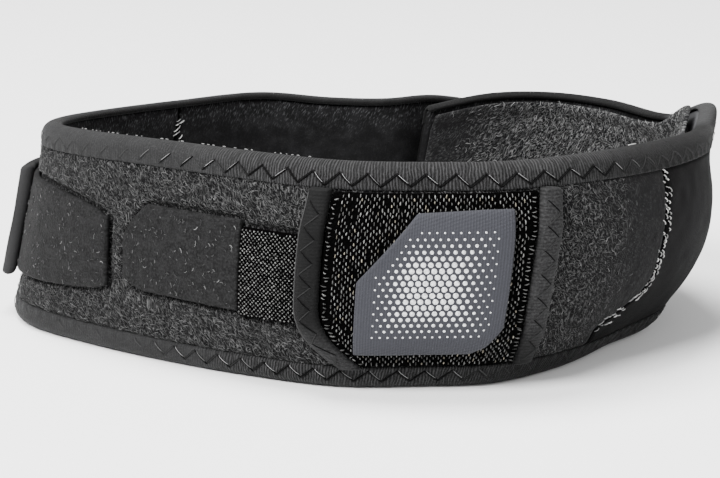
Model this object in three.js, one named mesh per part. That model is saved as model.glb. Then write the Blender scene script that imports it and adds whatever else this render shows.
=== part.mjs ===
// Patella strap: a padded band that closes behind the knee, with a front panel and two hook ended straps.
// Millimetres, +Z up. The front looks towards -Y, and the band rests on its bottom edge.
import * as THREE from "three";

// Sizes of the loop, measured on the middle of the band's wall
const HALF_WIDTH = 66; // half of the loop from side to side, at the top edge
const HALF_DEPTH = 50; // half of the loop from front to back, at the top edge
const HEIGHT = 42; // height of the band at the front, over both bindings
const LEAN = 10; // how far the bottom edge lies inside the top edge, where a row's share is 1
const BELLY = 4; // how far the wall swells out between its edges, where a row's share is 1
const FLARE = 4; // how far the top edge turns out, where a row's share is 1
const CORNER_RISE = 3; // how much higher the top edge stands at the pointed right end
const CORNER_FLARE = 2; // how much further it turns out there
const CORNER_REACH = 13; // half of the length that this point takes along the band
const TOE = 1.8; // how far the bottom edge turns out in front of that end
const TOE_PLACE = 24; // from the pointed end forward to the toe
const TOE_REACH = 20; // half of the toe's length

// Walls, tapes and clearances
const BAND_WALL = 3; // neoprene with cloth on both faces
const BAND_NIP = 1.8; // the same wall where a binding squeezes it
const TAPE_WALL = 1; // one layer of the knitted binding
const TAPE_LAP = 4.6; // how far a binding reaches from the edge on the outer face
const TAPE_HEM = 1.4; // how far it reaches on the inner face
const LINING_WALL = 1;
const WEB_WALL = 1.2; // woven elastic of the panel and the front strap
const STRAP_WALL = 2.2; // side strap
const TAB_WALL = 1.3; // hook tabs
const BADGE_WALL = 1;
const CLOSURE_WALL = 1.8;
const GAP = 0.3; // clearance between pieces that touch
const FOLD_GAP = 0.4; // clearance between a binding and the wall that it folds over
const LOOSE_GAP = 0.45; // clearance between curved pieces whose sections lie at different places

// Places along the band, from the middle of the front, + towards the strap's left in the picture
const FRONT_SEAM = -52.5; // seam between the plush front and the smooth right stretch
const FRONT_SEAM_SWEEP = 12; // how far this seam bends forward near the bottom
const BACK_SEAM = 143; // seam between the front stretch and the back stretch
const PANEL_LEFT = 16.2;
const PANEL_LEFT_SWEEP = 14; // how far the panel's left edge bends in towards the bottom
const PANEL_RIGHT = -20.3;
const PANEL_RIGHT_BOW = 1.8;
const PANEL_TAPE = 4.2; // width of the panel's side bindings
const BADGE_MARGIN = 3.6; // from the panel's right edge to the badge
const STRAP_OVERLAP = 9; // how far the side strap's end covers its hook tab

// Lengths and widths of the strips
const BADGE_LENGTH = 25.2;
const BADGE_WIDTH = 26.8;
const FRONT_STRAP_WIDTH = 16.6;
const FRONT_STRAP_SHOWN = 12.8; // stretch between the panel's left binding and the hook tab
const FRONT_STRAP_TUCK = 3.5; // from the panel's right edge to the strap's hidden end
const FRONT_TAB_LENGTH = 28.6;
const FRONT_TAB_WIDTH = 17;
const TAB_SPACING = 4.4; // between the two hook tabs
const SIDE_TAB_LENGTH = 42;
const SIDE_TAB_WIDTH = 20;
const SIDE_STRAP_WIDTH = 22.5;
const SIDE_STRAP_LIFT = 0.4; // how far its free end peels off the tab
const SIDE_STRAP_MARGIN = 6; // from the strap's sewn end to the end of the band
const CLOSURE_LENGTH = 20;
const CLOSURE_WIDTH = 20;
const CLOSURE_MARGIN = 3.5; // from the outer end of the band
const LINING_START = 0.8; // from the band's inner end to the lining
const LINING_MARGIN = 3; // from the lining to the seam on the right
const LINING_DROP = 0.5; // how far the lining's point stays below the top edge
const LINING_PEAK_REACH = 10; // half of the length of that point
const STATION = 5.5; // spacing of the sections along the band
const FINE_STATION = 2.5; // spacing on short pieces

// One row per section of the loop, from the inner end at the back, by the right, the front and the left
// to the outer end, which lies outside the inner one.
// x and y: the wall's middle at the top edge, as shares of HALF_WIDTH and HALF_DEPTH.
// lean and slip: the bottom edge's offset inwards and backwards along the band, as shares of LEAN.
// rise: the local height as a share of HEIGHT. low and high: shares of BELLY. flare: share of FLARE.
const COLUMNS = ["x", "y", "lean", "slip", "rise", "low", "high", "flare"];
const ROWS = [
  [0.22, 0.86, -0.2, 0.5, 0.855, 0.2, 0.2, 0],
  [0.42, 0.93, -0.15, 0.6, 0.905, 0.2, 0.2, 0],
  [0.62, 0.96, 0.2, 0.6, 0.905, 0.3, 0.3, 0],
  [0.8, 0.82, 0.65, 0.5, 0.895, 0.5, 0.5, 0],
  [0.92, 0.54, 0.85, 0.3, 0.89, 1, 0.95, 0.1],
  [0.965, 0.17, 0.85, 0.2, 0.94, 1.35, 1, 1],
  [0.95, -0.2, 1.05, 0.2, 0.97, 1.35, 1, 0.7],
  [0.83, -0.54, 1.15, 0, 0.985, 1.1, 1.1, 0],
  [0.65, -0.81, 0.8, -0.4, 1, 0.8, 0.8, 0],
  [0.42, -0.98, 0.4, -0.4, 1, 0.6, 0.6, 0],
  [0.18, -1.01, 0.25, -0.3, 1, 0.6, 0.6, 0],
  [-0.06, -0.97, 0.05, -0.3, 1, 0.6, 0.6, 0],
  [-0.31, -0.79, -0.1, -0.2, 1, 0.4, 0.4, 0],
  [-0.55, -0.56, -0.2, -0.1, 0.995, 0.2, 0.2, 0],
  [-0.78, -0.3, -0.25, 0, 0.98, 0.1, 0, 0],
  [-0.905, -0.02, -0.6, 0, 0.955, 0.05, -0.15, 0],
  [-0.905, 0.27, -0.75, 0, 0.925, 0.05, -0.15, 0],
  [-0.79, 0.54, -0.6, 0.4, 0.905, 0, 0, 0],
  [-0.58, 0.78, -0.45, 0.6, 0.9, 0.1, 0.1, 0],
  [-0.33, 0.96, -0.2, 0.6, 0.905, 0.2, 0.2, 0],
  [-0.1, 0.93, 0.1, 0.6, 0.885, 0.2, 0.2, 0],
  [0.08, 0.9, -0.1, 0.6, 0.885, 0.2, 0.2, 0],
  [0.24, 0.99, -0.2, 0.6, 0.885, 0.2, 0.2, 0],
  [0.42, 1.05, -0.1, 0.6, 0.84, 0.2, 0.2, 0],
  [0.6, 1.08, -0.1, 0.6, 0.82, 0.2, 0.2, 0],
];
const FRONT_ROW = 10; // the row that places along the band are measured from
const CORNER_ROW = 5; // the row of the pointed right end

// Outlines of the clipped strips: share of the length, then the low and high edge as shares of the width
const FRONT_TAB_OUTLINE = [
  [0, 0, 1],
  [0.8, 0.02, 1],
  [0.92, 0.07, 0.82],
  [1, 0.15, 0.62],
];
const SIDE_TAB_OUTLINE = [
  [0, 0.13, 0.78],
  [0.08, 0.08, 0.85],
  [0.2, 0.05, 0.9],
  [0.45, 0.02, 0.97],
  [1, 0, 1],
];
const BADGE_OUTLINE = [
  [0, 0.19, 1],
  [0.09, 0.05, 1],
  [0.19, 0, 1],
  [0.63, 0, 0.98],
  [1, 0, 0.53],
];

// Centre heights of the strips as shares of the local height
const STRAP_CENTRE = 0.495;
const SIDE_STRAP_CENTRE = 0.485;
const FRONT_TAB_CENTRE = 0.52;
const BADGE_CENTRE = 0.505;

// Splines through two columns of the table at a time
function spline(first, second, firstScale = 1, secondScale = 1) {
  const a = COLUMNS.indexOf(first);
  const b = COLUMNS.indexOf(second);
  const points = ROWS.map((row) => new THREE.Vector2(row[a] * firstScale, row[b] * secondScale));
  return new THREE.SplineCurve(points);
}

const PATH = spline("x", "y", HALF_WIDTH, HALF_DEPTH);
const LEANING = spline("lean", "slip", LEAN, LEAN);
const EDGE = spline("rise", "flare", HEIGHT, FLARE);
const SWELL = spline("low", "high", BELLY, BELLY);
const LAST_ROW = ROWS.length - 1;
const MOST_SWELL = 6.75; // lifts the two belly curves, which peak at a third and two thirds, to a height of 1
const FLARE_START = 0.75; // share of the height where the flare begins
const TOE_START = 0.15; // share of the height where the toe begins

const clamp = THREE.MathUtils.clamp;
const lerp = THREE.MathUtils.lerp;
const smooth = (value) => THREE.MathUtils.smoothstep(value, 0, 1);
const hump = (distance, reach) => Math.cos((Math.PI / 2) * clamp(distance / reach, -1, 1)) ** 2;

const flared = (share) => Math.max(0, (share - FLARE_START) / (1 - FLARE_START)) ** 2;

// Plan of a point of the wall: row number, share of the local height, and distance out from its middle.
// The pointed end and the toe add their own turns at the edges, so they leave the middle line as it is.
function wallPlan(row, share, out) {
  const at = row / LAST_ROW;
  const top = PATH.getPoint(at);
  const way = PATH.getTangent(at);
  const lean = LEANING.getPoint(at).multiplyScalar(1 - share);
  const swell = SWELL.getPoint(at);
  const below = 1 - share;
  const belly = MOST_SWELL * share * below * (swell.x * below + swell.y * share);
  const flare = EDGE.getPoint(at).y * flared(share);
  const reach = belly + flare - lean.x + out;
  return new THREE.Vector2(top.x - way.y * reach - way.x * lean.y, top.y + way.x * reach - way.y * lean.y);
}

// Length along the wall at half its height, counted from the front row
const SAMPLES_PER_ROW = 40;
const SAMPLES = LAST_ROW * SAMPLES_PER_ROW;
const LENGTHS = [0];
for (let i = 1; i <= SAMPLES; i++) {
  const before = wallPlan((i - 1) / SAMPLES_PER_ROW, 0.5, 0);
  LENGTHS.push(LENGTHS[i - 1] + before.distanceTo(wallPlan(i / SAMPLES_PER_ROW, 0.5, 0)));
}
const FRONT_LENGTH = LENGTHS[FRONT_ROW * SAMPLES_PER_ROW];
const INNER_END = -FRONT_LENGTH;
const OUTER_END = LENGTHS[SAMPLES] - FRONT_LENGTH;
const CORNER = LENGTHS[CORNER_ROW * SAMPLES_PER_ROW] - FRONT_LENGTH;

function rowAt(along) {
  const length = clamp(along - INNER_END, 0, LENGTHS[SAMPLES]);
  const next = Math.max(1, LENGTHS.findIndex((value) => value >= length));
  const share = (length - LENGTHS[next - 1]) / (LENGTHS[next] - LENGTHS[next - 1]);
  return (next - 1 + share) / SAMPLES_PER_ROW;
}

// Height of the top edge
function topHeight(along) {
  const corner = CORNER_RISE * hump(along - CORNER, CORNER_REACH);
  return EDGE.getPoint(rowAt(along) / LAST_ROW).x + corner;
}

// A point of the wall: length along it, height above the bottom edge, and distance out from its middle
function wallPoint(along, height, out) {
  const share = height / topHeight(along);
  const corner = CORNER_FLARE * hump(along - CORNER, CORNER_REACH) * flared(share);
  const toe = TOE * hump(along - CORNER - TOE_PLACE, TOE_REACH) * Math.max(0, 1 - share / TOE_START);
  const plan = wallPlan(rowAt(along), share, out + corner + toe);
  return new THREE.Vector3(plan.x, plan.y, height);
}

// Places of the sections between two ends: whole steps, so that neighbouring pieces share them
function stationsBetween(start, end, step) {
  const stations = [start];
  for (let i = Math.ceil(start / step + 0.5); i * step <= end - step / 2; i++) {
    stations.push(i * step);
  }
  return [...stations, end];
}

// One solid that follows the wall between two end lines.
// from and to: length along the band at a share of the height. section: for a share of the way from one
// end to the other, a place along the band and its height, the pairs [height, out] of the piece's two faces.
// A slanted end fades out along the piece, as fast as the fade's power says.
function piece(name, colour, roughness, { from, to, section, step = STATION, fade = 1 }) {
  const stations = stationsBetween(from(0.5), to(0.5), step);
  const points = [];
  let pairs = 0;
  for (const middle of stations) {
    const share = (middle - from(0.5)) / (to(0.5) - from(0.5));
    const top = topHeight(middle);
    const rows = section(share, middle, top);
    pairs = rows.length;
    const place = ([height, out]) => {
      const slantFrom = (from(height / top) - from(0.5)) * (1 - share) ** fade;
      const slantTo = (to(height / top) - to(0.5)) * share ** fade;
      const along = middle + slantFrom + slantTo;
      return wallPoint(along, (height * topHeight(along)) / top, out);
    };
    rows.forEach((row) => points.push(place(row[0])));
    rows.toReversed().forEach((row) => points.push(place(row[1])));
  }
  const mesh = new THREE.Mesh(loft(points, 2 * pairs, stations.length));
  mesh.name = name;
  mesh.material = new THREE.MeshStandardMaterial({ color: colour, roughness, metalness: 0 });
  return mesh;
}

// A closed skin over rings of points, whose end rings are closed by the rungs between their two faces
function loft(points, ring, rings) {
  const triangles = [];
  const quad = (a, b, c, d) => triangles.push(a, b, c, a, c, d);
  for (let i = 0; i + 1 < rings; i++) {
    for (let j = 0; j < ring; j++) {
      const next = (j + 1) % ring;
      quad(i * ring + j, i * ring + next, (i + 1) * ring + next, (i + 1) * ring + j);
    }
  }
  const last = (rings - 1) * ring;
  for (let j = 0; j + 1 < ring / 2; j++) {
    quad(j, ring - 1 - j, ring - 2 - j, j + 1);
    quad(last + j, last + j + 1, last + ring - 2 - j, last + ring - 1 - j);
  }
  const flat = points.flatMap((point) => point.toArray());
  const geometry = new THREE.BufferGeometry();
  geometry.setAttribute("position", new THREE.Float32BufferAttribute(flat, 3));
  geometry.setIndex(triangles);
  if (signedVolume(points, triangles) < 0) {
    geometry.setIndex(triangles.toReversed());
  }
  geometry.computeVertexNormals();
  return geometry;
}

function signedVolume(points, triangles) {
  let volume = 0;
  for (let i = 0; i < triangles.length; i += 3) {
    const [a, b, c] = [points[triangles[i]], points[triangles[i + 1]], points[triangles[i + 2]]];
    volume += a.dot(b.clone().cross(c)) / 6;
  }
  return volume;
}

// The pairs of a plain sheet between two heights, whose inner face lies at a distance from the wall's middle
function sheetPairs(low, high, levels, under, wall) {
  return Array.from({ length: levels + 1 }, (_, i) => {
    const height = lerp(low, high, i / levels);
    const base = typeof under === "function" ? under(height) : under;
    return [
      [height, base + wall],
      [height, base],
    ];
  });
}

// Low and high edge of a strip of a given width around its centre line, with an optional outline
function stripEdges(top, centre, width, outline, share = 0) {
  const low = top * centre - width / 2;
  if (!outline) {
    return [low, low + width];
  }
  const next = Math.max(1, outline.findIndex((row) => row[0] >= share));
  const [a, b] = [outline[next - 1], outline[next]];
  const part = (share - a[0]) / (b[0] - a[0]);
  return [low + width * lerp(a[1], b[1], part), low + width * lerp(a[2], b[2], part)];
}

// The padded band, nipped where its bindings sit
const BAND_SHARES = [0, 0.17, 0.34, 0.5, 0.66, 0.83, 1];
function bandFace(top, lap, side) {
  const edge = TAPE_WALL + GAP;
  const full = lap + edge;
  const nipped = [edge, lap].map((height) => [height, (side * BAND_NIP) / 2]);
  const padded = BAND_SHARES.map((part) => [lerp(full, top - full, part), (side * BAND_WALL) / 2]);
  const upper = nipped.toReversed().map(([height, out]) => [top - height, out]);
  return [...nipped, ...padded, ...upper];
}
function bandSection(share, along, top) {
  const inner = bandFace(top, TAPE_HEM, -1);
  return bandFace(top, TAPE_LAP, 1).map((outer, i) => [outer, inner[i]]);
}

const frontSeam = (share) => FRONT_SEAM + FRONT_SEAM_SWEEP * clamp((0.42 - share) / 0.22, 0, 1) ** 2;
const SEAM_FADE = 4; // keeps the seam's slant out of the far sections
const still = (along) => () => along;

const bandFront = piece("band_front", 0x4a4a4d, 0.95, {
  from: (share) => frontSeam(share) + GAP,
  to: still(BACK_SEAM - GAP),
  section: bandSection,
  fade: SEAM_FADE,
});
const bandRight = piece("band_right", 0x28282a, 0.85, {
  from: still(INNER_END),
  to: frontSeam,
  section: bandSection,
  fade: SEAM_FADE,
});
const bandBack = piece("band_back", 0x2c2c2e, 0.9, {
  from: still(BACK_SEAM),
  to: still(OUTER_END),
  section: bandSection,
});

// The binding's tape, folded over the edge: its outer face runs over the fold, and its inner face stays
// a clearance off the nipped wall
const FOLD_INSIDE = BAND_NIP / 2 + FOLD_GAP;
const FOLD_OUTSIDE = FOLD_INSIDE + TAPE_WALL;
function foldSide(lap, side) {
  const shoulder = 0.4 * TAPE_WALL;
  const pairs = [
    [[lap, FOLD_OUTSIDE], [lap, FOLD_INSIDE]],
    [[lerp(TAPE_WALL, lap, 0.5), FOLD_OUTSIDE], [lerp(TAPE_WALL, lap, 0.5), FOLD_INSIDE]],
    [[shoulder, FOLD_OUTSIDE - shoulder], [TAPE_WALL, FOLD_INSIDE]],
    [[0, FOLD_INSIDE], [TAPE_WALL, FOLD_INSIDE / 2]],
  ];
  return pairs.map((pair) => pair.map(([height, out]) => [height, side * out]));
}
function bindingSection(edgeAt) {
  const pairs = [...foldSide(TAPE_LAP, 1), ...foldSide(TAPE_HEM, -1).toReversed()];
  return pairs.map((pair) => pair.map(([height, out]) => [edgeAt(height), out]));
}

const topBinding = piece("top_binding", 0x2b2b2d, 0.9, {
  from: still(INNER_END),
  to: still(OUTER_END),
  section: (share, along, top) => bindingSection((depth) => top - depth),
});
const bottomBinding = piece("bottom_binding", 0x2b2b2d, 0.9, {
  from: still(INNER_END),
  to: still(OUTER_END),
  section: () => bindingSection((depth) => depth),
});

// The plush lining inside the right stretch, whose point reaches up beside the top binding at the corner
const liningPeak = (along) => hump(along - CORNER, LINING_PEAK_REACH);
const plushLining = piece("plush_lining", 0x3c3c3e, 0.95, {
  from: still(INNER_END + LINING_START),
  to: still(FRONT_SEAM - LINING_MARGIN),
  section: (share, along, top) => {
    const seat = -BAND_WALL / 2 - LOOSE_GAP - LINING_WALL;
    const over = -FOLD_OUTSIDE - 2 * LOOSE_GAP - LINING_WALL;
    const lip = TAPE_HEM + GAP;
    const high = top - lip + liningPeak(along) * (lip - LINING_DROP);
    const under = (height) => lerp(seat, over, smooth((height - top + 3 * lip) / (1.5 * lip)));
    return sheetPairs(lip, high, 9, under, LINING_WALL);
  },
});

// Everything on the band's outer face starts a clearance off it
const FACE = BAND_WALL / 2 + GAP;
const OVER_STRAP = FACE + WEB_WALL + LOOSE_GAP;
const panelEdges = (top) => [TAPE_LAP + GAP, top - TAPE_LAP - GAP];

// The inner face of the panel: on the band at its sewn edges, and over the front strap between them
function panelSeat(top) {
  const [low, high] = panelEdges(top);
  const [strapLow, strapHigh] = stripEdges(top, STRAP_CENTRE, FRONT_STRAP_WIDTH);
  return (height) => {
    const fromLow = smooth((height - low) / (strapLow - low - GAP));
    const fromHigh = smooth((high - height) / (high - strapHigh - GAP));
    return lerp(FACE, OVER_STRAP, Math.min(fromLow, fromHigh));
  };
}

const PANEL_LEVELS = 12;
const panelLeft = (share) => PANEL_LEFT - PANEL_LEFT_SWEEP * clamp((0.4 - share) / 0.4, 0, 1) ** 2;
const panelRight = (share) => PANEL_RIGHT + PANEL_RIGHT_BOW * Math.sin(Math.PI * clamp(share, 0, 1));

const frontPanel = piece("front_panel", 0x17171a, 0.8, {
  from: panelRight,
  to: panelLeft,
  section: (share, along, top) => sheetPairs(...panelEdges(top), PANEL_LEVELS, panelSeat(top), WEB_WALL),
});

// A side binding of the panel: rounded across its width, and thicker than the panel
function panelBinding(name, from, to) {
  return piece(name, 0x29292b, 0.9, {
    from,
    to,
    step: PANEL_TAPE / 6,
    section: (share, along, top) => {
      const wall = WEB_WALL + TAPE_WALL * Math.sqrt(Math.sin(Math.PI * clamp(share, 0.04, 0.96)));
      return sheetPairs(...panelEdges(top), PANEL_LEVELS, panelSeat(top), wall);
    },
  });
}

const leftTape = (share) => panelLeft(share) + GAP;
const rightTape = (share) => panelRight(share) - GAP;
const leftTapeEnd = (share) => leftTape(share) + PANEL_TAPE;
const rightTapeEnd = (share) => rightTape(share) - PANEL_TAPE;
const panelBindingLeft = panelBinding("panel_binding_left", leftTape, leftTapeEnd);
const panelBindingRight = panelBinding("panel_binding_right", rightTapeEnd, rightTape);

// A strip on the band's outer face
function strip(name, colour, roughness, options) {
  const { from, to, centre, width, outline, under, wall, step = FINE_STATION, levels = 4 } = options;
  return piece(name, colour, roughness, {
    from: still(from),
    to: still(to),
    step,
    section: (share, along, top) => {
      const [low, high] = stripEdges(top, centre, width, outline, share);
      return sheetPairs(low, high, levels, under(along, top), wall);
    },
  });
}

const badgeStart = panelRight(0.5) + BADGE_MARGIN;
const badge = strip("badge", 0x484a52, 0.7, {
  from: badgeStart,
  to: badgeStart + BADGE_LENGTH,
  centre: BADGE_CENTRE,
  width: BADGE_WIDTH,
  outline: BADGE_OUTLINE,
  under: (along, top) => (height) => panelSeat(top)(height) + WEB_WALL + LOOSE_GAP,
  wall: BADGE_WALL,
  levels: 10,
});

const tabStart = panelLeft(0.5) + GAP + PANEL_TAPE + FRONT_STRAP_SHOWN;
const frontStrap = strip("front_strap", 0x1d1d20, 0.85, {
  from: panelRight(0.5) + FRONT_STRAP_TUCK,
  to: tabStart - GAP,
  centre: STRAP_CENTRE,
  width: FRONT_STRAP_WIDTH,
  under: () => FACE,
  wall: WEB_WALL,
  step: STATION,
});
const frontHookTab = strip("front_hook_tab", 0x3a3a3c, 0.7, {
  from: tabStart,
  to: tabStart + FRONT_TAB_LENGTH,
  centre: FRONT_TAB_CENTRE,
  width: FRONT_TAB_WIDTH,
  outline: FRONT_TAB_OUTLINE,
  under: () => FACE,
  wall: TAB_WALL,
});

const sideTabStart = tabStart + FRONT_TAB_LENGTH + TAB_SPACING;
const sideTabEnd = sideTabStart + SIDE_TAB_LENGTH;
const sideStrapStart = sideTabEnd - STRAP_OVERLAP;
const sideHookTab = strip("side_hook_tab", 0x3a3a3c, 0.7, {
  from: sideTabStart,
  to: sideTabEnd,
  centre: STRAP_CENTRE,
  width: SIDE_TAB_WIDTH,
  outline: SIDE_TAB_OUTLINE,
  under: () => FACE,
  wall: TAB_WALL,
});
const sideStrap = strip("side_strap", 0x242426, 0.85, {
  from: sideStrapStart,
  to: OUTER_END - SIDE_STRAP_MARGIN,
  centre: SIDE_STRAP_CENTRE,
  width: SIDE_STRAP_WIDTH,
  step: STATION,
  under: (along) => {
    const onTab = 1 - smooth((along - sideTabEnd - GAP) / STRAP_OVERLAP);
    const peel = 1 - smooth((along - sideStrapStart) / STRAP_OVERLAP);
    return FACE + (TAB_WALL + GAP) * onTab + SIDE_STRAP_LIFT * peel;
  },
  wall: STRAP_WALL,
});

// The hidden closure between the two ends of the band
const closurePatch = strip("closure_patch", 0x202022, 0.8, {
  from: OUTER_END - CLOSURE_MARGIN - CLOSURE_LENGTH,
  to: OUTER_END - CLOSURE_MARGIN,
  centre: STRAP_CENTRE,
  width: CLOSURE_WIDTH,
  under: () => -FACE - CLOSURE_WALL,
  wall: CLOSURE_WALL,
});

// The part's origin is the bottom centre of its bounding box
const strap = new THREE.Group();
strap.add(bandFront, bandRight, bandBack, plushLining, topBinding, bottomBinding);
strap.add(frontPanel, panelBindingLeft, panelBindingRight, badge);
strap.add(frontStrap, frontHookTab, sideHookTab, sideStrap, closurePatch);
const centre = new THREE.Box3().setFromObject(strap).getCenter(new THREE.Vector3());
strap.position.set(-centre.x, -centre.y, 0);
const group = new THREE.Group();
group.add(strap);

export default group;
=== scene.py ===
"""The looks of a patella strap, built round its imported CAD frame.

The strap is a padded band that stands open on its bottom edge. Its cloth is made as surfaces over the
band's wall, where every point is a length along the band, a height and a distance out from the wall's
middle. Shapes are worked out in millimetres and put into the meshes in metres.
"""

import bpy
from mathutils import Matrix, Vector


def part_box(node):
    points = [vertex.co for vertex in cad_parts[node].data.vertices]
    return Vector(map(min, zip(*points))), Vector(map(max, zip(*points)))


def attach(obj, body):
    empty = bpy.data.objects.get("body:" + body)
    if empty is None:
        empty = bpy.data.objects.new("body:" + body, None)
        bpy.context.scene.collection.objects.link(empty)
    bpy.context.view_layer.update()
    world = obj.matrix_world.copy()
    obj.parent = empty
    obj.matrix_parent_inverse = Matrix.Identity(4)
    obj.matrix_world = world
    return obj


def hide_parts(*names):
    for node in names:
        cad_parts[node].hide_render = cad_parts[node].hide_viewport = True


bl_info = {
    "name": "Patella strap",
    "version": (1, 0, 0),
    "blender": (4, 5, 0),
    "location": "3D View > Sidebar > Strap",
    "description": "Builds the cloth, stitches and finish of a patella strap over its frame",
    "category": "Add Mesh",
}

import bpy
import numpy as np
from bpy.props import FloatProperty, FloatVectorProperty, PointerProperty
from mathutils import Vector

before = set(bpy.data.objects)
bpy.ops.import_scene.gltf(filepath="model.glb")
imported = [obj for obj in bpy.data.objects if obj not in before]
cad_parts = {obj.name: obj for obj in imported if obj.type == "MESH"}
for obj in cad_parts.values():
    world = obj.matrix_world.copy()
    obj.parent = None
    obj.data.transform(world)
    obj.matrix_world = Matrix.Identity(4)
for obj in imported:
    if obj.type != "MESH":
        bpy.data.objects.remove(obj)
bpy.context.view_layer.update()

MM = 0.001
BODY = "root"
UV_NAME = "cloth"  # every cloth piece carries its place on the wall as a UV map, in millimetres


def length(name, millimetres, description):
    """A length that the user can change, given in millimetres and kept in metres."""
    return FloatProperty(
        name=name, description=description, default=millimetres * MM, unit="LENGTH", precision=5
    )


def colour(name, value, description):
    """A linear colour that the user can change."""
    return FloatVectorProperty(
        name=name, description=description, default=value, min=0, max=1, subtype="COLOR"
    )


class StrapLoop(bpy.types.PropertyGroup):
    """The shape of the loop, as the frame has it."""

    half_width: length("Half width", 66, "Half of the loop from side to side at the top edge")
    half_depth: length("Half depth", 50, "Half of the loop from front to back at the top edge")
    height: length("Height", 42, "Height of the band at the front")
    lean: length("Lean", 10, "How far the bottom edge lies inside the top edge at most")
    belly: length("Belly", 4, "How far the wall swells out between its edges")
    flare: length("Flare", 4, "How far the top edge turns out at the right end")
    corner_rise: length("Corner rise", 3, "How much higher the pointed end stands")
    corner_flare: length("Corner flare", 2, "How much further the pointed end turns out")
    corner_reach: length("Corner reach", 13, "Half of the length of the pointed end")
    toe: length("Toe", 1.8, "How far the bottom edge turns out in front of the pointed end")
    toe_place: length("Toe place", 24, "From the pointed end forward to the toe")
    toe_reach: length("Toe reach", 20, "Half of the toe's length")


class StrapCloth(bpy.types.PropertyGroup):
    """Walls, widths and places of the pieces of cloth."""

    band_wall: length("Band wall", 3, "Thickness of the padded band")
    band_nip: length("Band nip", 1.8, "Thickness of the band where a binding squeezes it")
    pillow: length("Pillow", 0.55, "How far the padding swells between its held edges")
    tape_wall: length("Tape wall", 1, "Thickness of one layer of binding")
    tape_lap: length("Tape lap", 4.6, "How far a binding reaches over the outer face")
    tape_hem: length("Tape hem", 1.4, "How far a binding reaches over the inner face")
    lining_wall: length("Lining wall", 1, "Thickness of the plush lining")
    web_wall: length("Web wall", 1.2, "Thickness of the woven panel and the front strap")
    strap_wall: length("Strap wall", 2.2, "Thickness of the side strap")
    tab_wall: length("Tab wall", 1.3, "Thickness of the hook tabs")
    badge_wall: length("Badge wall", 1, "Thickness of the badge")
    closure_wall: length("Closure wall", 1.8, "Thickness of the hidden closure")
    gap: length("Gap", 0.3, "Clearance between pieces that touch")
    fold_gap: length("Fold gap", 0.4, "Clearance between a binding and the wall that it folds over")
    loose_gap: length("Loose gap", 0.45, "Clearance between curved pieces")
    front_seam: length("Front seam", -52.5, "Place of the seam on the right, from the front's middle")
    front_sweep: length("Front seam sweep", 12, "How far that seam bends forward near the bottom")
    back_seam: length("Back seam", 143, "Place of the seam at the back, from the front's middle")
    panel_left: length("Panel left", 16.2, "Left edge of the woven panel")
    panel_sweep: length("Panel sweep", 14, "How far the panel's left edge bends in at the bottom")
    panel_right: length("Panel right", -20.3, "Right edge of the woven panel")
    panel_bow: length("Panel bow", 1.8, "How far the panel's right edge bows in")
    panel_tape: length("Panel tape", 4.2, "Width of the panel's side bindings")
    badge_margin: length("Badge margin", 3.6, "From the panel's right edge to the badge")
    badge_length: length("Badge length", 25.2, "Length of the badge along the band")
    badge_width: length("Badge width", 26.8, "Height of the badge")
    front_strap_width: length("Front strap width", 16.6, "Width of the woven front strap")
    front_strap_shown: length("Front strap shown", 12.8, "Stretch of it between panel and tab")
    front_strap_tuck: length("Front strap tuck", 3.5, "From the panel's right edge to its end")
    front_tab_length: length("Front tab length", 28.6, "Length of the front hook tab")
    front_tab_width: length("Front tab width", 17, "Width of the front hook tab")
    tab_spacing: length("Tab spacing", 4.4, "Between the two hook tabs")
    side_tab_length: length("Side tab length", 42, "Length of the side hook tab")
    side_tab_width: length("Side tab width", 20, "Width of the side hook tab")
    strap_overlap: length("Strap overlap", 9, "How far the side strap covers its tab")
    side_strap_width: length("Side strap width", 22.5, "Width of the side strap")
    side_strap_lift: length("Side strap lift", 0.4, "How far its free end peels off the tab")
    side_strap_margin: length("Side strap margin", 6, "From its sewn end to the band's end")
    closure_length: length("Closure length", 20, "Length of the hidden closure")
    closure_width: length("Closure width", 20, "Width of the hidden closure")
    closure_margin: length("Closure margin", 3.5, "From the band's outer end to the closure")
    lining_start: length("Lining start", 0.8, "From the band's inner end to the lining")
    lining_margin: length("Lining margin", 3, "From the lining to the seam on the right")
    lining_drop: length("Lining drop", 0.5, "How far the lining's point stays below the top edge")
    lining_peak_reach: length("Lining peak reach", 10, "Half of the length of that point")


class StrapStitches(bpy.types.PropertyGroup):
    """Sizes of the threads, flecks and fibres."""

    edge_pitch: length("Edge pitch", 5.2, "Length of one zigzag on the long bindings")
    edge_swing: length("Edge swing", 2.1, "Height of that zigzag")
    edge_inset: length("Edge inset", 1.75, "From a binding's edge to its zigzag")
    panel_pitch: length("Panel pitch", 4.3, "Length of one zigzag on the panel's bindings")
    panel_swing: length("Panel swing", 2.2, "Width of that zigzag")
    thread: length("Thread", 0.11, "Radius of the sewing thread")
    seam_pitch: length("Seam pitch", 1.07, "Length of one step of the light seams")
    seam_width: length("Seam width", 3.2, "Width of the light seams")
    fleck_column: length("Fleck column", 1, "Between the columns of flecks on the panel")
    fleck_row: length("Fleck row", 1.15, "Between the rows of flecks on the panel")
    dot_pitch: length("Dot pitch", 0.85, "Between the light dots on the front strap")
    silver_pitch: length("Silver pitch", 1.3, "Between the silver dots on the badge")
    fibre: length("Fibre", 0.055, "Radius of a fibre of the pile")
    fibre_length: length("Fibre length", 0.95, "Mean length of a fibre of the pile")


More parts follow.
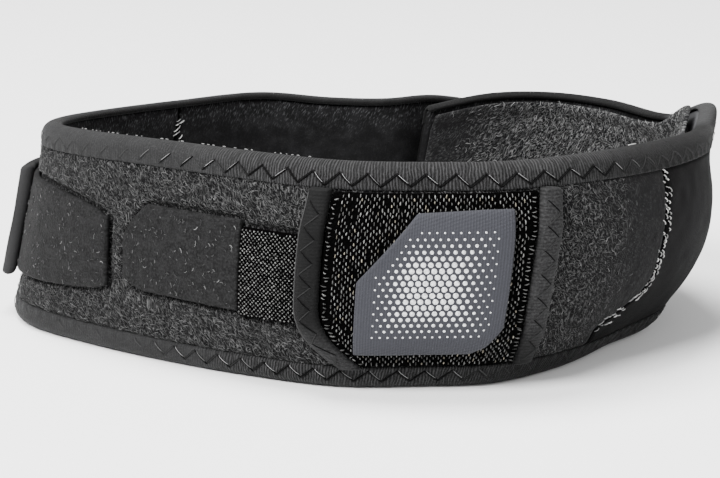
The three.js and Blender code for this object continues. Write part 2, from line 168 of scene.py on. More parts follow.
class StrapColours(bpy.types.PropertyGroup):
    """Colours of the finishes."""

    plush_dark: colour("Plush, deep", (0.0009, 0.0009, 0.001), "Between the fibres of the pile")
    plush_light: colour("Plush, tips", (0.073, 0.073, 0.073), "Tips of the fibres of the pile")
    neoprene: colour("Neoprene", (0.0023, 0.0023, 0.0024), "Smooth cloth face of the neoprene")
    binding: colour("Binding", (0.0055, 0.0055, 0.0056), "Knitted binding")
    woven: colour("Woven", (0.0005, 0.0005, 0.0005), "Ground of the woven panel and strap")
    fleck: colour("Fleck", (0.155, 0.155, 0.15), "Light flecks of the weave")
    badge: colour("Badge", (0.0215, 0.022, 0.027), "Ribbed badge")
    silver: colour("Silver", (0.62, 0.62, 0.63), "Raised dots on the badge")
    hook: colour("Hook tape", (0.0042, 0.0042, 0.0043), "Hook tabs")
    strap: colour("Side strap", (0.0045, 0.0045, 0.0046), "Side strap")
    thread_dark: colour("Dark thread", (0.0012, 0.0012, 0.0012), "Sewing thread of the bindings")
    # thread_highlight is a painted highlight: the light tube laid along every second zigzag stitch
    thread_highlight: colour("Thread core", (0.26, 0.26, 0.26), "Where that thread catches the light")
    thread_light: colour("Light thread", (0.55, 0.55, 0.54), "Sewing thread of the seams")
    floor: colour("Floor", (0.95, 0.95, 0.95), "Surface that the strap stands on")


class StrapCamera(bpy.types.PropertyGroup):
    """Where the picture is taken from."""

    distance: length("Distance", 520, "From the camera to the middle of the band's front line")
    elevation: FloatProperty(
        name="Elevation", description="Angle above the floor", default=0.214675, subtype="ANGLE"
    )
    drop: FloatProperty(
        name="Drop", description="How much lower the camera looks", default=0.0083943, subtype="ANGLE"
    )
    lens: FloatProperty(name="Lens", description="Focal length", default=131.04, unit="CAMERA")


# One row per section of the loop, from the inner end at the back, by the right, the front and the left
# to the outer end. Shares of: half width, half depth, lean, slip, height, low belly, high belly, flare.
ROWS = np.array(
    [
        [0.22, 0.86, -0.2, 0.5, 0.855, 0.2, 0.2, 0],
        [0.42, 0.93, -0.15, 0.6, 0.905, 0.2, 0.2, 0],
        [0.62, 0.96, 0.2, 0.6, 0.905, 0.3, 0.3, 0],
        [0.8, 0.82, 0.65, 0.5, 0.895, 0.5, 0.5, 0],
        [0.92, 0.54, 0.85, 0.3, 0.89, 1, 0.95, 0.1],
        [0.965, 0.17, 0.85, 0.2, 0.94, 1.35, 1, 1],
        [0.95, -0.2, 1.05, 0.2, 0.97, 1.35, 1, 0.7],
        [0.83, -0.54, 1.15, 0, 0.985, 1.1, 1.1, 0],
        [0.65, -0.81, 0.8, -0.4, 1, 0.8, 0.8, 0],
        [0.42, -0.98, 0.4, -0.4, 1, 0.6, 0.6, 0],
        [0.18, -1.01, 0.25, -0.3, 1, 0.6, 0.6, 0],
        [-0.06, -0.97, 0.05, -0.3, 1, 0.6, 0.6, 0],
        [-0.31, -0.79, -0.1, -0.2, 1, 0.4, 0.4, 0],
        [-0.55, -0.56, -0.2, -0.1, 0.995, 0.2, 0.2, 0],
        [-0.78, -0.3, -0.25, 0, 0.98, 0.1, 0, 0],
        [-0.905, -0.02, -0.6, 0, 0.955, 0.05, -0.15, 0],
        [-0.905, 0.27, -0.75, 0, 0.925, 0.05, -0.15, 0],
        [-0.79, 0.54, -0.6, 0.4, 0.905, 0, 0, 0],
        [-0.58, 0.78, -0.45, 0.6, 0.9, 0.1, 0.1, 0],
        [-0.33, 0.96, -0.2, 0.6, 0.905, 0.2, 0.2, 0],
        [-0.1, 0.93, 0.1, 0.6, 0.885, 0.2, 0.2, 0],
        [0.08, 0.9, -0.1, 0.6, 0.885, 0.2, 0.2, 0],
        [0.24, 0.99, -0.2, 0.6, 0.885, 0.2, 0.2, 0],
        [0.42, 1.05, -0.1, 0.6, 0.84, 0.2, 0.2, 0],
        [0.6, 1.08, -0.1, 0.6, 0.82, 0.2, 0.2, 0],
    ]
)
LAST_ROW = len(ROWS) - 1
FRONT_ROW = 10  # lengths along the band are counted from here
CORNER_ROW = 5  # the row of the pointed right end
LOOKS_PER_ROW = 40  # how finely the band's length is measured
WAY_STEP = 0.0024  # half of the stretch, in rows, that gives the direction of the band
MOST_SWELL = 6.75  # lifts the two belly curves, which peak at a third and two thirds, to a height of 1
FLARE_START = 0.75  # share of the height where the flare and the corner's flare begin
TOE_START = 0.15  # share of the height where the toe ends
SEAM_BEND = 0.42  # share of the height where the right seam starts to bend forward
SEAM_BEND_SPAN = 0.22  # how far below, as a share, it has come forward by its whole sweep
PANEL_BEND = 0.4  # share of the height where the panel's left edge starts to bend in
FOLD_SQUASH = 0.86  # rise of a binding's fold, as a share of the radius that its middle line has

# Outlines of the clipped strips: share of the length, then low and high edge as shares of the width
FRONT_TAB_OUTLINE = [(0, 0, 1), (0.8, 0.02, 1), (0.92, 0.07, 0.82), (1, 0.15, 0.62)]
SIDE_TAB_OUTLINE = [(0, 0.13, 0.78), (0.08, 0.08, 0.85), (0.2, 0.05, 0.9), (0.45, 0.02, 0.97), (1, 0, 1)]
BADGE_OUTLINE = [(0, 0.19, 1), (0.09, 0.05, 1), (0.19, 0, 1), (0.63, 0, 0.98), (1, 0, 0.53)]
STRAP_CENTRE = 0.495
SIDE_STRAP_CENTRE = 0.485
FRONT_TAB_CENTRE = 0.52
BADGE_CENTRE = 0.505

# Flat widths of the sheets that are sewn in, in millimetres
PANEL_WIDTH = 31.2
TAPE_WIDTH = 10

# Where a long binding's zigzag shows, in millimetres along the band: beyond its turn, where the light falls
# from the other side, the painted highlight is on the other stitches; it fades out at its left and right end
ZIGZAG_TURN = {"top": 24, "bottom": -1000}
ZIGZAG_ENDS = {"top": (64, -48), "bottom": (60, -18)}
ZIGZAG_FADE = 14

# What is scattered is drawn from these seeds
FLECK_SEED = 21
FRAY_SEED = 8
WEAVE_SEED = 4
CREST_SEED = 5

DOME_RISE = 0.42  # how high a silver dot stands, as a share of its radius
HOOK_CROWD = 5.1  # hooks on each millimetre of a tab's length

WORLD_LIGHT = 0.6
FLOOR_HALF = 3.0  # half of the floor's side, in metres
LIGHTS = [  # name, place in metres, size in metres, power in watts
    ("key_light", (-0.65, -0.8, 0.95), 0.6, 46),
    ("fill_light", (0.75, -0.75, 0.5), 0.8, 6),
    ("top_light", (-0.25, 0.2, 1.2), 0.7, 34),
]
LIT_HEIGHT = 0.02  # height of the point that the lights face


def lerp(a, b, part):
    return a + (b - a) * part


def pair(first, second):
    """Two arrays side by side, along a new last axis."""
    return np.stack([first, second], axis=-1)


def smooth(value):
    """0 below 0, 1 above 1, and 3v^2 - 2v^3 between."""
    value = np.clip(value, 0, 1)
    return value * value * (3 - 2 * value)


def hump(distance, reach):
    """The squared cosine of a quarter turn times distance over reach, 0 beyond the reach."""
    return np.cos(np.pi / 2 * np.clip(distance / reach, -1, 1)) ** 2


class Sizes:
    """The lengths of a property group, in millimetres."""

    def __init__(self, group):
        self.group = group

    def __getattr__(self, name):
        return getattr(self.group, name) / MM


class Wall:
    """The middle surface of the band, as a function of length along it, height and distance out.

    A point starts on the smooth line through the rows, moves in by the lean and back by the slip in
    proportion to its depth below the top, and moves out by the belly, the flare and its own distance.
    """

    def __init__(self, loop):
        self.loop = loop
        scales = [loop.half_width, loop.half_depth, loop.lean, loop.lean]
        scales += [loop.height, loop.belly, loop.belly, loop.flare]
        self.rows = ROWS * scales
        self.fine = np.linspace(0, LAST_ROW, LAST_ROW * LOOKS_PER_ROW + 1)
        steps = np.hypot(*np.diff(self.plan(self.fine, 0.5, 0.0), axis=-1))
        lengths = np.concatenate([[0], np.cumsum(steps)])
        self.lengths = lengths - lengths[FRONT_ROW * LOOKS_PER_ROW]
        self.inner_end = self.lengths[0]
        self.outer_end = self.lengths[-1]
        self.corner = self.lengths[CORNER_ROW * LOOKS_PER_ROW]
        self.offset = np.zeros(3)

    def columns(self, row):
        """A uniform Catmull-Rom curve through the rows, whose first and last rows count twice."""
        row = np.clip(row, 0, LAST_ROW)
        at = np.minimum(np.floor(row).astype(int), LAST_ROW - 1)
        part = (row - at)[..., None]
        before = self.rows[np.maximum(at - 1, 0)]
        here, there = self.rows[at], self.rows[at + 1]
        after = self.rows[np.minimum(at + 2, LAST_ROW)]
        leave, arrive = (there - before) / 2, (after - here) / 2
        cubic = 2 * here - 2 * there + leave + arrive
        square = 3 * there - 3 * here - 2 * leave - arrive
        return np.moveaxis(((cubic * part + square) * part + leave) * part + here, -1, 0)

    def plan(self, row, share, out):
        x, y, lean, slip, _, low, high, flare = self.columns(row)
        way = (self.columns(row + WAY_STEP) - self.columns(row - WAY_STEP))[:2]
        way = way / np.hypot(*way)
        below = 1 - share
        belly = MOST_SWELL * share * below * (low * below + high * share)
        reach = belly + flare * self.flared(share) - lean * below + out
        back = slip * below
        return np.stack([x - way[1] * reach - way[0] * back, y + way[0] * reach - way[1] * back])

    @staticmethod
    def flared(share):
        return np.maximum(0, (share - FLARE_START) / (1 - FLARE_START)) ** 2

    def row(self, along):
        return np.interp(along, self.lengths, self.fine)

    def top(self, along):
        """Height of the top edge."""
        corner = self.loop.corner_rise * hump(along - self.corner, self.loop.corner_reach)
        return self.columns(self.row(along))[4] + corner

    def point(self, along, height, out):
        """Points in millimetres, on the row frame's axes."""
        along, height, out = np.broadcast_arrays(along, height, out)
        loop = self.loop
        share = height / self.top(along)
        corner = loop.corner_flare * hump(along - self.corner, loop.corner_reach) * self.flared(share)
        toe = loop.toe * hump(along - self.corner - loop.toe_place, loop.toe_reach)
        toe = toe * np.maximum(0, 1 - share / TOE_START)
        x, y = self.plan(self.row(along), share, out + corner + toe)
        return np.stack([x, y, height], axis=-1) + self.offset

    def frame(self, along, height, out):
        """Points, with the unit directions along the band, up the wall and out of it."""
        step = 0.15
        across = self.point(along + step, height, out) - self.point(along - step, height, out)
        up = self.point(along, height + step, out) - self.point(along, height - step, out)
        across = across / np.linalg.norm(across, axis=-1, keepdims=True)
        normal = np.cross(up, across)
        normal = normal / np.linalg.norm(normal, axis=-1, keepdims=True)
        return self.point(along, height, out), across, np.cross(across, normal), normal


# Meshes


def volume_of(points, faces):
    """The signed volume under a closed mesh: the sum of its corner triples' products over six."""
    total = 0.0
    for group in faces:
        first = points[group[:, 0]]
        for i in range(1, group.shape[1] - 1):
            crossed = np.cross(points[group[:, i]], points[group[:, i + 1]])
            total += np.einsum("ij,ij->", first, crossed) / 6
    return total


def new_piece(name, points, faces, places, material, node=None):
    """A mesh from whole arrays: points in millimetres, groups of faces, and a UV place for each point."""
    if volume_of(points, faces) < 0:
        faces = [group[:, ::-1] for group in faces]
    mesh = bpy.data.meshes.new(name)
    mesh.vertices.add(len(points))
    mesh.vertices.foreach_set("co", (points * MM).ravel())
    corners = np.concatenate([group.ravel() for group in faces])
    counts = np.concatenate([np.full(len(group), group.shape[1]) for group in faces])
    mesh.loops.add(len(corners))
    mesh.loops.foreach_set("vertex_index", corners.astype(np.int32))
    mesh.polygons.add(len(counts))
    mesh.polygons.foreach_set("loop_start", (np.cumsum(counts) - counts).astype(np.int32))
    mesh.polygons.foreach_set("use_smooth", np.ones(len(counts), dtype=bool))
    mesh.update(calc_edges=True)
    layer = mesh.uv_layers.new(name=UV_NAME)
    layer.data.foreach_set("uv", places[corners].ravel())
    if mesh.validate():
        raise RuntimeError(name + " has faces that Blender can't keep")
    mesh.materials.append(material)
    piece = bpy.data.objects.new(name, mesh)
    bpy.context.scene.collection.objects.link(piece)
    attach(piece, BODY)
    if node:
        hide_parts(node)
    return piece


def ring_faces(rings, ring):
    """Quads between closed rings of points, and ladders that close the first and the last ring."""
    i = np.arange(rings - 1)[:, None] * ring
    j = np.arange(ring)[None, :]
    beside = (j + 1) % ring
    sides = np.stack([i + j, i + beside, i + ring + beside, i + ring + j], axis=-1).reshape(-1, 4)
    k = np.arange(ring // 2 - 1)
    first = np.stack([k, ring - 1 - k, ring - 2 - k, k + 1], axis=-1)
    last = first[:, ::-1] + (rings - 1) * ring
    return [np.concatenate([sides, first, last])]


EDGE_TURNS = np.radians([12, 36, 62])  # where a rounded edge has its points


def half_ring(levels):
    """One face of a ring: share of the width, how far into the rounded edge, and how thick."""
    chain = np.linspace(0, 1, levels + 1)
    part = np.concatenate([np.zeros(3), chain, np.ones(3)])
    cap = np.concatenate([-np.cos(EDGE_TURNS), np.zeros(levels + 1), np.cos(EDGE_TURNS[::-1])])
    side = np.concatenate([np.sin(EDGE_TURNS), np.ones(levels + 1), np.sin(EDGE_TURNS[::-1])])
    return part, cap, side


def full_ring(levels):
    """Both faces: the outer one up, and the inner one down again."""
    part, cap, side = half_ring(levels)
    return np.append(part, part[::-1]), np.append(cap, cap[::-1]), np.append(side, -side[::-1])


def stations(start, end, step, rounding):
    """Places from start to end, closer together in the rounded ends."""
    count = max(2, int(np.ceil((end - start - 2 * rounding) / step)))
    near = rounding * np.array([0.02, 0.12, 0.3, 0.6])
    middle = np.linspace(start + rounding, end - rounding, count + 1)
    return np.concatenate([start + near, middle, end - near[::-1]])


def end_taper(middle, start, end, rounding):
    """How thick a rounded end is: the root of 1 - (1 - distance / rounding)^2."""
    near = np.clip(np.minimum(middle - start, end - middle) / rounding, 0, 1)
    return np.sqrt(np.maximum(0, 1 - (1 - near) ** 2))


def strip(name, wall, ends, edges, faces, material, node=None, slot=None, **options):
    """A closed sheet that follows the wall between two end lines and two edges.

    ends are two functions of the share of the height, edges(part, top) gives the low and high edge, and
    faces(along, height, part) gives how far out the inner and the outer face lie. Its edges and ends are
    half rounds of its own thickness. The options are the levels across, the step along, the rounding of
    the edges, the fade of its slanted ends, the clip of its corners, and back, an inner face's material.
    """
    levels, step = options.get("levels", 24), options.get("step", 0.8)
    rounding, fade = options.get("rounding", 0.7), options.get("fade", 1)
    start, end = ends[0](0.5), ends[1](0.5)
    middle = stations(start, end, step, rounding)[:, None]
    part = (middle - start) / (end - start)
    top = wall.top(middle)
    low, high = edges(part, top)
    taper = end_taper(middle, start, end, rounding)
    across, cap, side = full_ring(levels)
    inset = rounding * (1 + (1 - taper) * options.get("clip", 1))
    height = low + inset + (high - low - 2 * inset) * across + cap * rounding
    slant_start = (ends[0](height / top) - start) * (1 - part) ** fade
    slant_end = (ends[1](height / top) - end) * part**fade
    along = middle + slant_start + slant_end
    height = height * wall.top(along) / top
    inner, outer = faces(along, height, part)
    out = (inner + outer) / 2 + side * taper * (outer - inner) / 2
    points = wall.point(along, height, out)
    places = np.stack(np.broadcast_arrays(along, height), axis=-1).reshape(-1, 2)
    found = ring_faces(*points.shape[:2])
    piece = new_piece(name, points.reshape(-1, 3), found, places, material, node)
    if "back" in options:
        ring = len(across)
        turned = np.zeros(len(found[0]), dtype=np.int32)
        turned[: (len(middle) - 1) * ring] = np.tile(np.arange(ring) >= ring // 2, len(middle) - 1)
        piece.data.materials.append(options["back"])
        piece.data.polygons.foreach_set("material_index", turned)
    return piece


def tubes(paths, normals, radii, sides=4):
    """Closed tubes along many short paths: each ring lies across its path, round its own normal."""
    way = np.gradient(paths, axis=1)
    way = way / np.maximum(np.linalg.norm(way, axis=-1, keepdims=True), 1e-9)
    aside = np.cross(way, normals)
    aside = aside / np.maximum(np.linalg.norm(aside, axis=-1, keepdims=True), 1e-9)
    lift = np.cross(aside, way)
    turn = 2 * np.pi * (np.arange(sides) + 0.5) / sides
    radii = np.broadcast_to(radii, paths.shape[:2])[..., None, None]
    ring = np.cos(turn)[:, None] * aside[:, :, None] + np.sin(turn)[:, None] * lift[:, :, None]
    points = (paths[:, :, None] + radii * ring).reshape(-1, 3)
    return points, tube_faces(*paths.shape[:2], sides)


def tube_faces(count, rings, sides):
    """Faces of many closed tubes whose points come ring by ring: their quads, and a cap at each end."""
    start = (np.arange(count) * rings * sides)[:, None, None]
    near = start + np.arange(rings - 1)[None, :, None] * sides
    far = near + sides
    corner = np.arange(sides)[None, None, :]
    beside = (corner + 1) % sides
    quads = np.stack([near + corner, near + beside, far + beside, far + corner], axis=-1)
    first = start[:, 0] + np.arange(sides)[::-1]
    last = start[:, 0] + (rings - 1) * sides + np.arange(sides)
    return [quads.reshape(-1, 4), np.concatenate([first, last])]


def thread_piece(name, paths, normals, radii, marks, material, sides=4):
    """Many short threads as one piece. marks gives each thread's UV place, for its own shade."""
    points, faces = tubes(paths, normals, radii, sides)
    places = np.repeat(marks, paths.shape[1] * sides, axis=0)
    return new_piece(name, points, faces, places, material)


def arched(share):
    """0 at both ends of a stitch and 1 in its middle, as the root of the sine of half a turn."""
    return np.sqrt(np.sin(np.pi * np.clip(share, 0.001, 0.999)))


def stitches(wall, starts, ends, out, lift, points=7):
    """Paths from starts to ends, both (along, height), that rise from the cloth at out and dive back."""
    share = np.linspace(0, 1, points)[None, :]
    along = lerp(starts[:, :1], ends[:, :1], share)
    height = lerp(starts[:, 1:], ends[:, 1:], share)
    level = out(along, height) if callable(out) else out
    raised = level + lift * (arched(share) * 1.5 - 0.5)
    place, _, _, normal = wall.frame(along, height, raised)
    return place, normal


def noise(along, height, pitch, seed):
    """Smooth values from -1 to 1: random numbers on a lattice of that pitch, blended between its points."""
    random = np.random.RandomState(seed).uniform(-1, 1, (64, 64))
    x, y = np.broadcast_arrays(along / pitch + 1000, height / pitch + 1000)
    i, j = np.floor(x).astype(int), np.floor(y).astype(int)
    u, v = smooth(x - i), smooth(y - j)
    low = lerp(random[i % 64, j % 64], random[(i + 1) % 64, j % 64], u)
    high = lerp(random[i % 64, (j + 1) % 64], random[(i + 1) % 64, (j + 1) % 64], u)
    return lerp(low, high, v)


# The measured places of this strap


class Strap:
    """The wall and the places of the pieces on it, as the property groups give them."""

    def __init__(self, scene):
        self.cloth = Sizes(scene.strap_cloth)
        self.thread = Sizes(scene.strap_stitches)
        self.colours = scene.strap_colours
        self.wall = Wall(Sizes(scene.strap_loop))
        c = self.cloth
        self.face = c.band_wall / 2 + c.gap
        self.over_strap = self.face + c.web_wall + c.loose_gap
        self.fold_inside = c.band_nip / 2 + c.fold_gap
        self.fold_outside = self.fold_inside + c.tape_wall
        self.badge_start = self.panel_right(0.5) + c.badge_margin
        self.strap_start = self.panel_right(0.5) + c.front_strap_tuck
        self.tab_start = self.panel_left(0.5) + c.gap + c.panel_tape + c.front_strap_shown
        self.tab_end = self.tab_start + c.front_tab_length
        self.side_tab_start = self.tab_end + c.tab_spacing
        self.side_tab_end = self.side_tab_start + c.side_tab_length
        self.side_strap_start = self.side_tab_end - c.strap_overlap
        self.side_strap_end = self.wall.outer_end - c.side_strap_margin

    def front_seam(self, share):
        c = self.cloth
        return c.front_seam + c.front_sweep * np.clip((SEAM_BEND - share) / SEAM_BEND_SPAN, 0, 1) ** 2

    def panel_left(self, share):
        c = self.cloth
        return c.panel_left - c.panel_sweep * np.clip((PANEL_BEND - share) / PANEL_BEND, 0, 1) ** 2

    def panel_right(self, share):
        c = self.cloth
        return c.panel_right + c.panel_bow * np.sin(np.pi * np.clip(share, 0, 1))

    def panel_edges(self, part, top):
        edge = self.cloth.tape_lap + self.cloth.gap
        return edge + 0 * top, top - edge

    def strip_edges(self, top, centre, width, outline=None, part=0):
        low = top * centre - width / 2
        if outline is None:
            return low, low + width
        rows = np.array(outline)
        low_share = np.interp(part, rows[:, 0], rows[:, 1])
        high_share = np.interp(part, rows[:, 0], rows[:, 2])
        return low + width * low_share, low + width * high_share

    def badge_edges(self, along):
        """The badge's low and high edge at a place along the band."""
        c = self.cloth
        part = np.clip((along - self.badge_start) / c.badge_length, 0, 1)
        return self.strip_edges(self.wall.top(along), BADGE_CENTRE, c.badge_width, BADGE_OUTLINE, part)

    def tape_start(self, side, share):
        """The line up the wall where one of the panel's side tapes has its right edge."""
        c = self.cloth
        if side == "left":
            return self.panel_left(share) + c.gap
        return self.panel_right(share) - c.gap - c.panel_tape

    def tape_fold(self):
        """Half of a long binding's wall, and its middle line's radius and rise round the fold."""
        half = self.cloth.tape_wall / 2
        radius = self.fold_outside - half
        return half, radius, radius * FOLD_SQUASH

    def panel_seat(self, along, height):
        """The panel's inner face: on the band at its sewn edges, and over the front strap between."""
        c = self.cloth
        top = self.wall.top(along)
        low, high = self.panel_edges(0, top)
        strap_low, strap_high = self.strip_edges(top, STRAP_CENTRE, c.front_strap_width)
        from_low = smooth((height - low) / (strap_low - low - c.gap))
        from_high = smooth((high - height) / (high - strap_high - c.gap))
        return lerp(self.face, self.over_strap, np.minimum(from_low, from_high))

    def side_strap_under(self, along):
        c = self.cloth
        on_tab = 1 - smooth((along - self.side_tab_end - c.gap) / c.strap_overlap)
        peel = 1 - smooth((along - self.side_strap_start) / c.strap_overlap)
        return self.face + (c.tab_wall + c.gap) * on_tab + c.side_strap_lift * peel

    def tab_distance(self, along, height):
        """How far a place lies outside the front strap, the hook tabs and the side strap, in all."""
        c = self.cloth
        top = self.wall.top(along)
        strips = [
            (self.strap_start, self.tab_start, STRAP_CENTRE, c.front_strap_width, None),
            (self.tab_start, self.tab_end, FRONT_TAB_CENTRE, c.front_tab_width, FRONT_TAB_OUTLINE),
            (self.side_tab_start, self.side_tab_end, STRAP_CENTRE, c.side_tab_width, SIDE_TAB_OUTLINE),
            (self.side_strap_start, self.side_strap_end, SIDE_STRAP_CENTRE, c.side_strap_width, None),
        ]
        nearest = np.full(np.broadcast(along, height).shape, 1e3)
        for start, end, centre, width, outline in strips:
            part = np.clip((along - start) / (end - start), 0, 1)
            low, high = self.strip_edges(top, centre, width, outline, part)
            aside = np.maximum(start - along, along - end)
            over = np.maximum(low - height, height - high)
            outside = np.hypot(np.maximum(aside, 0), np.maximum(over, 0))
            nearest = np.minimum(nearest, outside + np.minimum(np.maximum(aside, over), 0))
        return nearest

    def band_faces(self, along, height):
        """The band's two faces: nipped by the bindings, and padded between, where straps press it in."""
        c = self.cloth
        top = self.wall.top(along)
        inset = np.minimum(height, top - height)
        swell = smooth((inset - c.tape_lap + 0.75) / 1.1)
        pucker = np.sin(2 * np.pi * along / self.thread.edge_pitch) * smooth((along + 50) / 22)
        pucker = 0.16 * pucker * np.exp(-np.maximum(0, inset - c.tape_lap) / 2.2)
        away = self.tab_distance(along, height)
        pressed = smooth((away + 0.3) / 1.6)
        groove = 0.5 * np.exp(-((away - 0.15) / 0.5) ** 2)
        wavy = 0.16 * noise(along, height, pitch=7, seed=3) + 0.08 * noise(along, height, pitch=2.6, seed=5)
        outer = lerp(c.band_nip / 2, c.band_wall / 2, swell)
        outer = outer + (c.pillow * pressed + wavy * pressed) * swell + pucker * swell - groove
        inside = smooth((inset - c.tape_hem + 0.3) / 3.5)
        inner = lerp(c.band_nip / 2, c.band_wall / 2, inside)
        inner = inner + (0.2 + 0.6 * wavy) * inside * smooth(inset / 6)
        return -inner, outer

    def lining_face(self, along, height):
        """The lining's inner face, which leans in over the binding near its top edge."""
        c = self.cloth
        lip = c.tape_hem + c.gap
        seat = -c.band_wall / 2 - c.loose_gap - c.lining_wall
        over = -self.fold_outside - 2 * c.loose_gap - c.lining_wall
        lift = smooth((height - self.wall.top(along) + 3 * lip) / (1.5 * lip))
        return lerp(seat, over, lift) - 0.12 * noise(along, height, pitch=6, seed=11)

    def tape_ring(self, levels=20):
        """A binding's ring: places (depth, out) on the folded tape's two faces.

        The tape's middle line runs up the outer face, and over the fold along an ellipse, until it has
        come down the inner face as far as the hem. Each face lies half a wall off it, and the tape's two
        edges are half rounds.
        """
        c = self.cloth
        half, radius, rise = self.tape_fold()
        edge = half + rise
        outer_leg = np.linspace(c.tape_lap - half, edge, 8)[:-1]
        finish = np.pi - np.arcsin(np.clip((edge - c.tape_hem + half) / rise, 0, 1))
        turn = np.linspace(0, finish, levels)
        depth = np.concatenate([outer_leg, edge - rise * np.sin(turn)])
        out = np.concatenate([outer_leg * 0 + radius, radius * np.cos(turn)])
        line = pair(depth, out)
        way = np.gradient(line, axis=0)
        way = way / np.linalg.norm(way, axis=-1, keepdims=True)
        normal = pair(-way[:, 1], way[:, 0])
        normal = normal * np.sign(normal[0, 1])
        _, cap, side = half_ring(2)
        caps = np.concatenate([np.where(cap < 0, cap, 0)[:3], np.zeros(len(line)), cap[-3:]])
        sides = np.concatenate([side[:3], np.ones(len(line)), side[-3:]])
        pick = np.concatenate([[0, 0, 0], np.arange(len(line)), np.full(3, len(line) - 1)])
        base, off, on = line[pick], normal[pick], way[pick]
        outer = base + half * (caps[:, None] * on + sides[:, None] * off)
        inner = base + half * (caps[:, None] * on - sides[:, None] * off)
        return np.concatenate([outer, inner[::-1]])


# Materials


class Value:
    """A number that a material works out, so that its sums read as plain expressions."""

    def __init__(self, paint, socket):
        self.paint = paint
        self.socket = socket

    def _math(self, operation, *others):
        return self.paint.node("ShaderNodeMath", {"operation": operation}, *others)

    def __add__(self, other):
        return self._math("ADD", self, other)

    def __sub__(self, other):
        return self._math("SUBTRACT", self, other)

    def __rsub__(self, other):
        return self._math("SUBTRACT", other, self)

    def __mul__(self, other):
        return self._math("MULTIPLY", self, other)

    def __truediv__(self, other):
        return self._math("DIVIDE", self, other)

    __radd__ = __add__
    __rmul__ = __mul__

    def sine(self):
        return self._math("SINE", self)

    def size(self):
        return self._math("ABSOLUTE", self)

    def most(self, other):
        return self._math("MAXIMUM", self, other)

    def triangle(self):
        """Goes from 0 to 1 and back as the value grows by 2."""
        return self._math("PINGPONG", self, 1.0)

    def step(self, low, high):
        """0 below low and 1 above high, smooth between; the other way round where low is the larger."""
        settings = {"interpolation_type": "SMOOTHSTEP"}
        flip = low > high
        ends = (1.0, 0.0) if flip else (0.0, 1.0)
        return self.paint.node("ShaderNodeMapRange", settings, self, min(low, high), max(low, high), *ends)


class Paint:
    """A material in the making: one shader, its constants, and the nodes that feed it."""

    def __init__(self, name, **constants):
        self.material = bpy.data.materials.new(name)
        self.material.use_nodes = True
        self.tree = self.material.node_tree
        self.shader = self.tree.nodes["Principled BSDF"]
        for socket, value in constants.items():
            self.shader.inputs[socket.replace("_", " ")].default_value = value
        self._place = None

    def node(self, kind, settings=None, *inputs, output=0, **named):
        """Makes a node, sets what it is, then its sockets by order or by name, and returns an output."""
        node = self.tree.nodes.new(kind)
        for key, value in (settings or {}).items():
            setattr(node, key, value)
        pairs = [(node.inputs[i], value) for i, value in enumerate(inputs)]
        pairs += [(node.inputs[key], value) for key, value in named.items()]
        for socket, value in pairs:
            if isinstance(value, Value):
                self.tree.links.new(value.socket, socket)
            elif value is not None:
                socket.default_value = value
        return Value(self, node.outputs[output])

    def place(self):
        """The piece's own place on the wall, in millimetres: along the band, and height."""
        if self._place is None:
            found = self.node("ShaderNodeUVMap", {"uv_map": UV_NAME})
            split = self.node("ShaderNodeSeparateXYZ", None, found).socket.node
            self._place = Value(self, split.outputs[0]), Value(self, split.outputs[1])
        return self._place

    def vector(self, x, y, z=0.0):
        return self.node("ShaderNodeCombineXYZ", None, x, y, z)

    def noise(self, vector, scale, detail=2.0, roughness=0.5):
        """Smooth values near 0.5, whose grain is about 1 / scale."""
        values = {"Vector": vector, "Scale": scale, "Detail": detail, "Roughness": roughness}
        return self.node("ShaderNodeTexNoise", {"noise_dimensions": "3D"}, **values)

    def mix(self, part, first, second):
        """A colour between two, each a link or a plain colour."""
        plain = [v if isinstance(v, Value) else (*v, 1.0) for v in (first, second)]
        inputs = [part, None, None, None, None, None, *plain]
        return self.node("ShaderNodeMix", {"data_type": "RGBA"}, *inputs, output=2)

    def feed(self, socket, value):
        if isinstance(value, Value):
            self.tree.links.new(value.socket, self.shader.inputs[socket])
        else:
            self.shader.inputs[socket].default_value = value

    def bump(self, height, distance, strength=1.0):
        """Lifts the surface by height times distance, in millimetres."""
        values = {"Height": height, "Distance": distance * MM, "Strength": strength}
        self.feed("Normal", self.node("ShaderNodeBump", None, **values))

    def finish(self, face, roughness, height, distance):
        """Feeds the colour of the face and its roughness, lifts it, and gives the material."""
        self.feed("Base Color", face)
        self.feed("Roughness", roughness)
        self.bump(height, distance)
        return self.material

    def dashes(self, along, height, tilt, width, long, low, high):
        """Short strokes: noise stretched along a tilted line, and cut between low and high."""
        c, s = np.cos(tilt), np.sin(tilt)
        across = (along * float(s) - height * float(c)) / width
        down = (along * float(c) + height * float(s)) / long
        return self.noise(self.vector(across, down), 1.0, 1.0).step(low, high)


def tint(colour, gain):
    """A colour made lighter or darker."""
    return tuple(min(1.0, c * gain) for c in colour)


